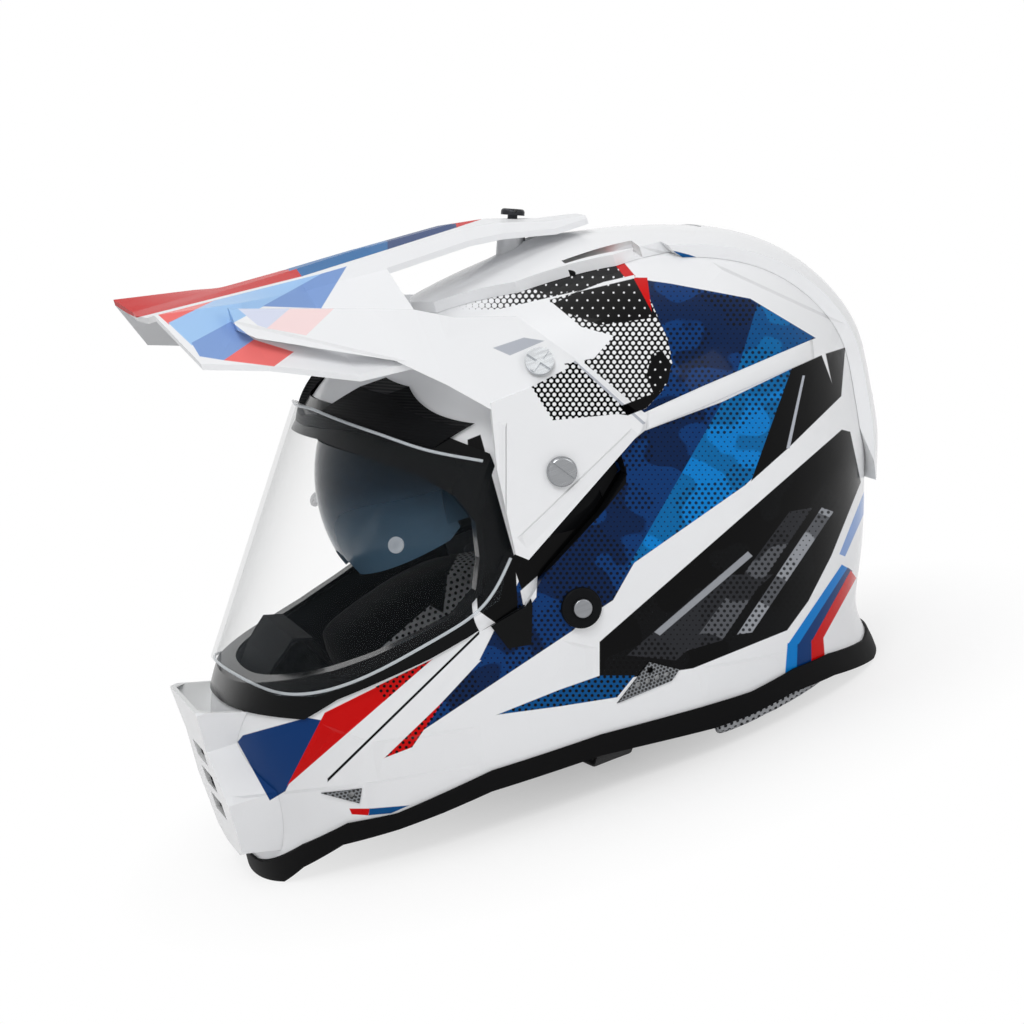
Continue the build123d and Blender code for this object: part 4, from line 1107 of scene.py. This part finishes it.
@dataclass
class SoftPad:
    """A foam and cloth pad that swells from its CAD solid."""

    node: str
    name: str
    body: str = "helmet"
    slot: str = "pad_mesh"
    cap: float = 0.0035
    shrink: float = 0.0012
    voxel: float = 0.004
    pressure: float = 4.0
    fill: float = 0.75
    frames: int = 20
    quality: int = 4
    smoothings: int = 3
    evening: float = 0.5
    merge: float = 1e-5

    def start_shape(self) -> bpy.types.Object:
        """The solid's shape, remeshed evenly and drawn in a little.

        Returns:
            The pad before it swells.
        """
        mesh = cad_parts[self.node].data.copy()
        mesh.materials.clear()
        with editing(mesh) as build:
            bmesh.ops.remove_doubles(build, verts=build.verts, dist=self.merge)
        piece = link(self.name, mesh)
        remesh = piece.modifiers.new("even", "REMESH")
        remesh.mode, remesh.voxel_size, remesh.use_smooth_shade = "VOXEL", self.voxel, True
        baked(piece)
        with editing(piece.data) as build:
            for _ in range(self.smoothings):
                bmesh.ops.smooth_vert(build, verts=build.verts, factor=self.evening, use_axis_x=True,
                                      use_axis_y=True, use_axis_z=True)
            build.normal_update()
            moves = [vert.normal * self.shrink for vert in build.verts]
            for vert, move in zip(build.verts, moves):
                vert.co -= move
        return piece

    def swell(self, piece: bpy.types.Object) -> None:
        """Blows the cloth out with pressure, and holds each point within the cap.

        Args:
            piece: the pad.
        """
        before = [vert.co.copy() for vert in piece.data.vertices]
        cloth = piece.modifiers.new("cloth", "CLOTH")
        cloth.settings.use_pressure = True
        cloth.settings.uniform_pressure_force = self.pressure
        cloth.settings.effector_weights.gravity = 0
        cloth.settings.quality = self.quality
        cloth.point_cache.frame_start, cloth.point_cache.frame_end = 1, self.frames
        for number in range(1, self.frames + 1):
            bpy.context.scene.frame_set(number)
        baked(piece)
        bpy.context.scene.frame_set(1)
        for vert, start in zip(piece.data.vertices, before):
            move = vert.co - start
            if move.length > self.cap:
                vert.co = start + move.normalized() * self.cap

    def make(self) -> bpy.types.Object:
        """Makes the pad, which stands for its CAD node.

        Returns:
            The pad, with no material yet.
        """
        piece = self.start_shape()
        self.swell(piece)
        rounded = piece.modifiers.new("round", "SUBSURF")
        rounded.levels = rounded.render_levels = 1
        baked(piece)
        finished(piece)
        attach(piece, self.body)
        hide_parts(self.node)
        return piece


@dataclass
class Strap:
    """One side of the chin strap: flat webbing on a rounded route in the plane of its length."""

    node: str
    name: str
    route: tuple[Point, ...]
    mirrored: bool
    centre_y: float = -0.00893
    width: float = 0.0196
    wall: float = 0.0013
    bend: float = 0.006
    bend_parts: int = 6
    step: float = 0.0015
    least: float = 1e-7

    def line(self) -> list[tuple[Vector, float]]:
        """The rounded route.

        Returns:
            Its points with their distance from the start.
        """
        side = -1 if self.mirrored else 1
        corners = [Vector((side * x / 1000, self.centre_y, z / 1000)) for x, z in self.route]
        points = [corners[0]]
        for before, corner, after in zip(corners, corners[1:], corners[2:]):
            cut = min(self.bend, (corner - before).length / 2, (after - corner).length / 2)
            start = corner + (before - corner).normalized() * cut
            end = corner + (after - corner).normalized() * cut
            for number in range(self.bend_parts + 1):
                share = number / self.bend_parts
                points.append(start.lerp(corner, share).lerp(corner.lerp(end, share), share))
        return self.spaced(points + corners[-1:])

    def spaced(self, points: list[Vector]) -> list[tuple[Vector, float]]:
        """Fills a route up, so that its points are at most a step apart.

        Args:
            points: the route.

        Returns:
            Its points with their distance from the start.
        """
        found = [(points[0], 0.0)]
        for point in points[1:]:
            last, gone = found[-1]
            gap = (point - last).length
            count = max(1, math.ceil(gap / self.step)) if gap > self.least else 0
            for number in range(1, count + 1):
                found.append((last.lerp(point, number / count), gone + gap * (number / count)))
        return found

    def frames(self) -> list[tuple[Vector, Vector, float]]:
        """The route with the way that the webbing faces.

        Returns:
            Each point with the outward direction there and its distance from the start.
        """
        line = self.line()
        found = []
        for number, (point, gone) in enumerate(line):
            before, after = line[max(0, number - 1)][0], line[min(len(line) - 1, number + 1)][0]
            found.append((point, (after - before).normalized().cross(Vector((0, 1, 0))).normalized(), gone))
        return found

    def section(self) -> list[Point]:
        """The webbing's cross-section: rounded edges and a flat middle.

        Returns:
            Its points as the place across the webbing and the height above its middle.
        """
        half, thick = self.width / 2, self.wall / 2
        edge = thick * 0.9
        upper = [(-half, 0.0), (-half + edge * 0.4, thick * 0.8), (-half + edge * 1.5, thick),
                 (0.0, thick * 0.86), (half - edge * 1.5, thick), (half - edge * 0.4, thick * 0.8), (half, 0.0)]
        return upper + [(x, -z) for x, z in reversed(upper[1:-1])]

    def make(self) -> bpy.types.Object:
        """Makes the strap, which stands for its CAD node.

        Returns:
            The strap, with no material yet.
        """
        section = self.section()
        rings, chart = [], []
        for point, out, gone in self.frames():
            rings.append([point + Vector((0, wide, 0)) + out * thick for wide, thick in section])
            chart.append([(wide, gone) for wide, _ in section + section[:1]])
        piece = finished(link(self.name, tube_mesh(self.name, rings, chart)))
        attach(piece, "helmet")
        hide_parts(self.node)
        return piece


# --- stitches


@dataclass
class StitchRow:
    """Stitches that geometry nodes lay along a line."""

    material: bpy.types.Material
    spacing: float = 0.0032
    length: float = 0.0022
    radius: float = 0.00035
    sides: int = 6

    @property
    def sizes(self) -> dict[str, float]:
        """The tree's inputs by name."""
        return {"Spacing": self.spacing, "Length": self.length, "Radius": self.radius}

    @cached_property
    def tree(self) -> bpy.types.NodeTree:
        """The nodes: an even row of rounded threads on the curve of a mesh's edges.

        Returns:
            The tree, with an input for each size.
        """
        graph = Graph(bpy.data.node_groups.new("stitch_row", "GeometryNodeTree"))
        face = graph.tree.interface
        face.new_socket("Geometry", in_out="INPUT", socket_type="NodeSocketGeometry")
        for name in self.sizes:
            face.new_socket(name, in_out="INPUT", socket_type="NodeSocketFloat")
        face.new_socket("Geometry", in_out="OUTPUT", socket_type="NodeSocketGeometry")
        start = graph.add("NodeGroupInput")
        spacing, length, radius = (graph.out(start, name) for name in self.sizes)
        curve = graph.made("GeometryNodeMeshToCurve", {0: graph.out(start)})
        even = graph.made("GeometryNodeResampleCurve", {"Curve": curve, "Length": spacing}, mode="LENGTH")
        tangent = graph.made("GeometryNodeInputTangent")
        turn = graph.made("FunctionNodeAlignRotationToVector", {"Vector": tangent}, axis="Z")
        cylinder = {"Vertices": self.sides, "Radius": radius, "Depth": length}
        thread = graph.made("GeometryNodeMeshCylinder", cylinder)
        rounded = graph.made("GeometryNodeSubdivisionSurface", {"Mesh": thread, "Level": 1})
        row = {"Points": even, "Instance": rounded, "Rotation": turn}
        real = graph.made("GeometryNodeRealizeInstances", {0: graph.made("GeometryNodeInstanceOnPoints", row)})
        dyed = graph.made("GeometryNodeSetMaterial", {"Geometry": real, "Material": self.material})
        graph.add("NodeGroupOutput", {0: dyed})
        return graph.tree

    def make(self, name: str, points: Sequence[Vector]) -> bpy.types.Object:
        """A row of stitches through the points.

        Args:
            name: the piece's name.
            points: the line, in order.

        Returns:
            The piece, with no modifier left.
        """
        mesh = bpy.data.meshes.new(name)
        edges = [(number, number + 1) for number in range(len(points) - 1)]
        mesh.from_pydata([tuple(point) for point in points], edges, [])
        piece = link(name, mesh)
        rows = piece.modifiers.new("rows", "NODES")
        rows.node_group = self.tree
        for socket in self.tree.interface.items_tree:
            if socket.name in self.sizes:
                rows[socket.identifier] = self.sizes[socket.name]
        piece.update_tag()
        baked(piece)
        return finished(piece)


# --- sub-assemblies


@dataclass
class ShellSet:
    """The painted shell with its mouldings, trims, grilles and vents."""

    ridge_height: float = 0.0022
    ridge_top: tuple[Point, ...] = ((647, 411), (700, 387), (756, 363), (812, 339))
    ridge_low: tuple[Point, ...] = ((646, 431), (700, 409), (757, 384), (814, 359))
    ridge_profile: tuple[Point, ...] = (
        (0.0, -0.4), (0.03, 0.55), (0.12, 1.0), (0.5, 1.05), (0.88, 1.0), (0.97, 0.55), (1.0, -0.4))
    ridge_steps: int = 40
    front_taper: float = 6.0
    rear_taper: float = 8.0
    rear_height: float = 0.15

    def dress(self) -> None:
        """Gives each carried node its finish."""
        Livery("shell_paint", Hue("131416"), (Carrier.SHELL, Carrier.BOTH)).dress("outer_shell")
        Livery("cover_paint", Hue("eceded"), (Carrier.SHELL,)).dress("chin_vent_cover")
        Livery("moulding_paint", Hue("eceded"), (Carrier.CROWN,)).dress("crown_vent", "rear_spoiler")
        Moulded("trim_rubber", Hue("0c0c0d"), 0.62).dress("rim_trim")
        Moulded("frame_black", Hue("050607"), 0.2, shine=0.1).dress("eyeport_gasket")
        Moulded("duct_black", Hue("0b0c0e"), 0.36, ribs=(0.0, 0.34, 0.94)).dress("brow_duct")
        Moulded("vent_black", Hue("141517"), 0.5).dress("chin_vent_shutter")
        Metal("grille_silver", Hue("8d9094"), 0.38, holes=0.00062).dress("chin_grilles", "side_grilles")

    @staticmethod
    def cast(tree: BVHTree, place: Point) -> tuple[Vector, Vector]:
        """Finds the shell behind a place of the picture.

        Args:
            tree: the shell's surface.
            place: the place across and down.

        Returns:
            The point, and its normal towards the camera.
        """
        start, way = VIEW.ray(place)
        point, normal, _, _ = tree.ray_cast(start, way)
        if point is None:
            raise ValueError(f"the picture's place {place} is not on the shell")
        return point, normal if normal.dot(way) < 0 else -normal

    @staticmethod
    def along(line: Sequence[Point], share: float) -> Point:
        """A place on a line of places.

        Args:
            line: the line's places.
            share: how far along it, from 0 to 1, with each stretch taken as equally long.

        Returns:
            The place.
        """
        spot = share * (len(line) - 1)
        first = min(int(spot), len(line) - 2)
        return tuple(a + (b - a) * (spot - first) for a, b in zip(line[first], line[first + 1]))

    def ridge(self, side: int, name: str, finish: Shader) -> None:
        """The raised white band along the shell's side, laid on the shell.

        Args:
            side: one for the left side, minus one for the right.
            name: the piece's name.
            finish: its paint.
        """
        tree = surface_tree("outer_shell")
        rings = []
        for number in range(self.ridge_steps + 1):
            share = number / self.ridge_steps
            top, low = self.along(self.ridge_top, share), self.along(self.ridge_low, share)
            taper = min(1.0, share * self.front_taper, (1 - share) * self.rear_taper + self.rear_height)
            ring = []
            for place, height in self.ridge_profile:
                point, normal = self.cast(tree, self.along((top, low), place))
                ring.append(point + normal * (height * self.ridge_height * (taper if height > 0 else 1)))
            ring.append(sum(ring, Vector()) / len(ring) - self.cast(tree, top)[1] * self.ridge_height)
            rings.append([Vector((side * point.x, point.y, point.z)) for point in ring])
        piece = finished(link(name, tube_mesh(name, rings)), finish)
        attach(piece, "helmet")

    def make(self) -> None:
        """Dresses the nodes and adds the raised bands."""
        self.dress()
        white = Gloss("ridge_white", Hue("f4f5f7")).make()
        self.ridge(1, "side_ridge_left", white)
        self.ridge(-1, "side_ridge_right", white)


@dataclass
class PeakSet:
    """The peak with its screws."""

    def make(self) -> None:
        """Dresses the nodes."""
        carriers = (Carrier.PEAK, Carrier.BOTH)
        Livery("peak_paint", Hue("e9eaec"), carriers, (Carrier.FAR_PEAK,), coat=0.03, shine=0.005).dress("peak")
        Metal("screw_silver", Hue("d9dcdf"), 0.2).dress("peak_wing_screws")
        Metal("screw_grey", Hue("a3a5a8"), 0.25).dress("peak_side_screws")
        Metal("screw_dark", Hue("3a3b3e"), 0.4).dress("peak_top_screw")


@dataclass
class ShieldSet:
    """The clear shield, its plates and the sun lens."""

    rim_radius: float = 0.00075
    rim_turn: float = 66.0
    rim_parts: int = 22
    rim_order: int = 4
    rim_rounding: int = 3
    levels: int = 160
    centre_y: float = 0.02
    reach: float = 0.4
    ray_length: float = 0.39
    smoothings: int = 3

    def edge(self, low: bool) -> list[Vector]:
        """Points along the shield's lower or upper edge, from the left side round to the right.

        Args:
            low: whether the lower edge is followed.

        Returns:
            The points, with the right side mirrored from the left.
        """
        tree = surface_tree("face_shield")
        bottom, top = (corner[2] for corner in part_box("face_shield"))
        levels = [bottom + (top - bottom) * number / self.levels for number in range(self.levels + 1)]
        half = []
        for number in range(self.rim_parts):
            turn = math.radians(self.rim_turn * (1 - number / self.rim_parts))
            way = Vector((math.sin(turn), -math.cos(turn), 0.0))
            starts = [Vector((0.0, self.centre_y, level)) + way * self.reach for level in levels]
            hits = [tree.ray_cast(start, -way, self.ray_length)[0] for start in starts]
            hits = [hit for hit in hits if hit is not None]
            half += hits[:1] if low else hits[-1:]
        for _ in range(self.smoothings):
            half[1:-1] = [(a + b * 2 + c) / 4 for a, b, c in zip(half, half[1:], half[2:])]
        return half + [Vector((-point.x, point.y, point.z)) for point in reversed(half)]

    def rim(self, name: str, low: bool, finish: Shader) -> None:
        """The shield's rolled edge, pale and nearly opaque as a painted highlight along it.

        Args:
            name: the piece's name.
            low: whether it is the lower edge.
            finish: its material.
        """
        curve = bpy.data.curves.new(name, "CURVE")
        curve.dimensions = "3D"
        spline = curve.splines.new("NURBS")
        points = self.edge(low)
        spline.points.add(len(points) - 1)
        for spot, point in zip(spline.points, points):
            spot.co = (*point, 1.0)
        spline.order_u, spline.use_endpoint_u = self.rim_order, True
        curve.bevel_depth, curve.bevel_resolution = self.rim_radius, self.rim_rounding
        curve.use_fill_caps = True
        shape = link(name + "_line", curve)
        piece = finished(link(name, plain(shape)), finish)
        bpy.data.objects.remove(shape)
        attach(piece, "shield")

    def make(self) -> None:
        """Dresses the nodes and adds the shield's rims."""
        Pane("shield_clear", Hue("7c868d"), 0.012, 0.45).dress("face_shield")
        Pane("pin_clear", Hue("c9ced4"), 0.35, 0.8).dress("lens_pins")
        Pane("sun_tint", Hue("0c2232"), 0.88, 0.97, Hue("5e7f99"), shine=0.08).dress("sun_lens")
        Moulded("plate_black", Hue("0d0e10"), 0.34).dress(
            "shield_base_left", "shield_base_right", "shield_bushes", "sun_lens_slider", "slider_track")
        Metal("pivot_steel", Hue("a7a9ac"), 0.3).dress("sun_lens_pivots")
        # the rims are the shield's rolled edges; their pale, nearly opaque colour is painted highlight
        bright = Pane("rim_clear_painted_highlight", Hue("dfe5ea"), 0.55, 0.95).make()
        self.rim("shield_lower_rim", True, bright)
        self.rim("shield_upper_rim", False, bright)


@dataclass
class PaddingSet:
    """Foam liners and the cloth pads on them."""

    panels: tuple[tuple[Point, ...], ...] = (
        ((452, 540), (478, 540), (480, 590), (455, 625), (430, 610), (448, 575)),
        ((430, 606), (458, 622), (400, 662), (368, 662), (385, 645)),
    )

    def make(self) -> None:
        """Makes the pads and dresses the foam."""
        cloth = MeshCloth("mesh_grey", Hue("b4b6ba")).make()
        # the cheek mesh is a lighter grey than the crown's, painted light that offsets the shade inside the
        # helmet
        cheek = MeshCloth("cheek_cloth", Hue("dcdee2"), panels=self.panels).make()
        Foam("bead_foam", Hue("17181a")).dress("impact_liner", "chin_liner")
        Moulded("guard_cloth", Hue("101113"), 0.8, grain=900.0, grain_depth=0.0002).dress("breath_guard")
        cheek.dress(SoftPad("cheek_pad_left", "cheek_cushion_left").make())
        cheek.dress(SoftPad("cheek_pad_right", "cheek_cushion_right").make())
        cloth.dress(SoftPad("crown_pad", "crown_cushion", cap=0.002).make())
        cloth.dress(SoftPad("neck_roll", "neck_cushion", cap=0.0015).make())


@dataclass
class RetentionSet:
    """Rivets, straps, rings and stitches."""

    upper: tuple[Point, ...] = ((107.5, 87.5), (106.25, 60.0), (102.5, 32.0), (95.0, 16.0), (80.0, 7.5))
    left_tail: tuple[Point, ...] = ((33.2, 3.8), (24.4, 3.8), (24.4, 12.6), (37.6, 12.6))
    right_tail: tuple[Point, ...] = ((-10.8, 3.8), (-19.6, 3.8), (-19.6, 12.6), (50.0, 12.6))
    seams: tuple[float, float] = (-0.0065, 0.0065)
    sewn: tuple[float, float] = (0.004, 0.075)

    def stitches(self, strap: Strap, row: StitchRow) -> None:
        """Two rows of stitches on the strap's upper run.

        Args:
            strap: the strap.
            row: how stitches are made.
        """
        side = strap.wall / 2 * (1 if strap.mirrored else -1)
        run = [(point, out) for point, out, gone in strap.frames() if self.sewn[0] < gone < self.sewn[1]]
        for number, offset in enumerate(self.seams):
            points = [point + Vector((0, offset, 0)) + out * side for point, out in run]
            piece = row.make(f"{strap.name}_stitches_{number + 1}", points)
            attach(piece, "helmet")

    def make(self) -> None:
        """Makes the straps and dresses the metal."""
        web = Woven("webbing", Hue("131416")).make()
        row = StitchRow(Moulded("thread", Hue("2c2d30"), 0.8, grain_depth=0.00004).make().material)
        for strap in (
            Strap("strap_left", "strap_webbing_left", self.upper + self.left_tail, False),
            Strap("strap_right", "strap_webbing_right", self.upper + self.right_tail, True),
        ):
            web.dress(strap.make())
            self.stitches(strap, row)
        Metal("ring_steel", Hue("b9bcc0"), 0.25).dress("d_rings")
        Metal("rivet_grey", Hue("96989c"), 0.32).dress("strap_rivets", "strap_anchors")
        Moulded("washer_black", Hue("0e0f11"), 0.4).dress("rivet_washers")


# --- studio


@dataclass(frozen=True)
class Lamp:
    """A soft square lamp that points at the aim."""

    name: str
    place: Spot
    aim: Spot
    size: float
    power: float

    def make(self) -> None:
        """Puts the lamp in the scene."""
        data = bpy.data.lights.new(self.name, "AREA")
        data.size, data.energy = self.size, self.power
        way = Vector(self.aim) - Vector(self.place)
        turned = way.to_track_quat("-Z", "Y").to_matrix().to_4x4()
        link(self.name, data).matrix_world = Matrix.Translation(Vector(self.place)) @ turned


@dataclass
class Studio:
    """A pale floor and soft light."""

    floor_radius: float = 6.0
    floor_sides: int = 96
    floor_height: float = -0.0005
    fade_start: float = -0.12
    fade_length: float = 0.38
    world_strength: float = 0.38
    lamps: tuple[Lamp, ...] = (
        Lamp("key", (1.4, -0.3, 1.6), (0, 0, 0.12), 0.8, 13.0),
        Lamp("side", (1.5, 1.3, 0.7), (0, 0, 0.12), 0.7, 4.0),
        Lamp("top", (-0.2, -0.1, 1.7), (0, 0, 0.15), 0.8, 6.0),
    )

    def floor(self) -> None:
        """The floor: a wide disc that turns white away from the helmet."""
        mesh = bpy.data.meshes.new("floor")
        with editing(mesh) as build:
            bmesh.ops.create_circle(build, cap_ends=True, segments=self.floor_sides, radius=self.floor_radius)
            for vert in build.verts:
                vert.co.z = self.floor_height
        disc = link("floor", mesh)
        shader = Shader("floor_pale")
        shader.feed(Base_Color=Hue("fbfbfb").linear, Roughness=0.9)
        fade = (shader.vectors("LENGTH", shader.place, socket=1) - self.fade_start).share(1 / self.fade_length)
        glow = shader.made("ShaderNodeEmission", {"Color": (1, 1, 1, 1), "Strength": 1.0})
        layers = {0: fade * shader.seen(), 1: shader.out(shader.surface), 2: glow}
        shader.fill(shader.output, {0: shader.made("ShaderNodeMixShader", layers)})
        shader.dress(disc)

    def world(self) -> None:
        """A white surround that lights the object less than it shows."""
        world = bpy.data.worlds.new("studio")
        bpy.context.scene.world = world
        world.use_nodes = True
        graph = Graph(world.node_tree)
        bounds = {"Value": graph.seen(), "To Min": self.world_strength, "To Max": 1.0}
        strength = graph.made("ShaderNodeMapRange", bounds)
        graph.fill(graph.tree.nodes["Background"], {"Strength": strength, "Color": (1, 1, 1, 1)})

    def make(self) -> None:
        """Sets the stage."""
        self.floor()
        self.world()
        for lamp in self.lamps:
            lamp.make()
        bpy.context.scene.view_settings.view_transform = "Standard"
        log.info("studio lit")


def main() -> None:
    """Builds the helmet's looks in order."""
    logging.basicConfig(level=logging.INFO, format="%(name)s: %(message)s")
    VIEW.make_camera()
    for part in (ShellSet(), PeakSet(), ShieldSet(), PaddingSet(), RetentionSet(), Studio()):
        part.make()


if __name__ == "__main__":
    main()
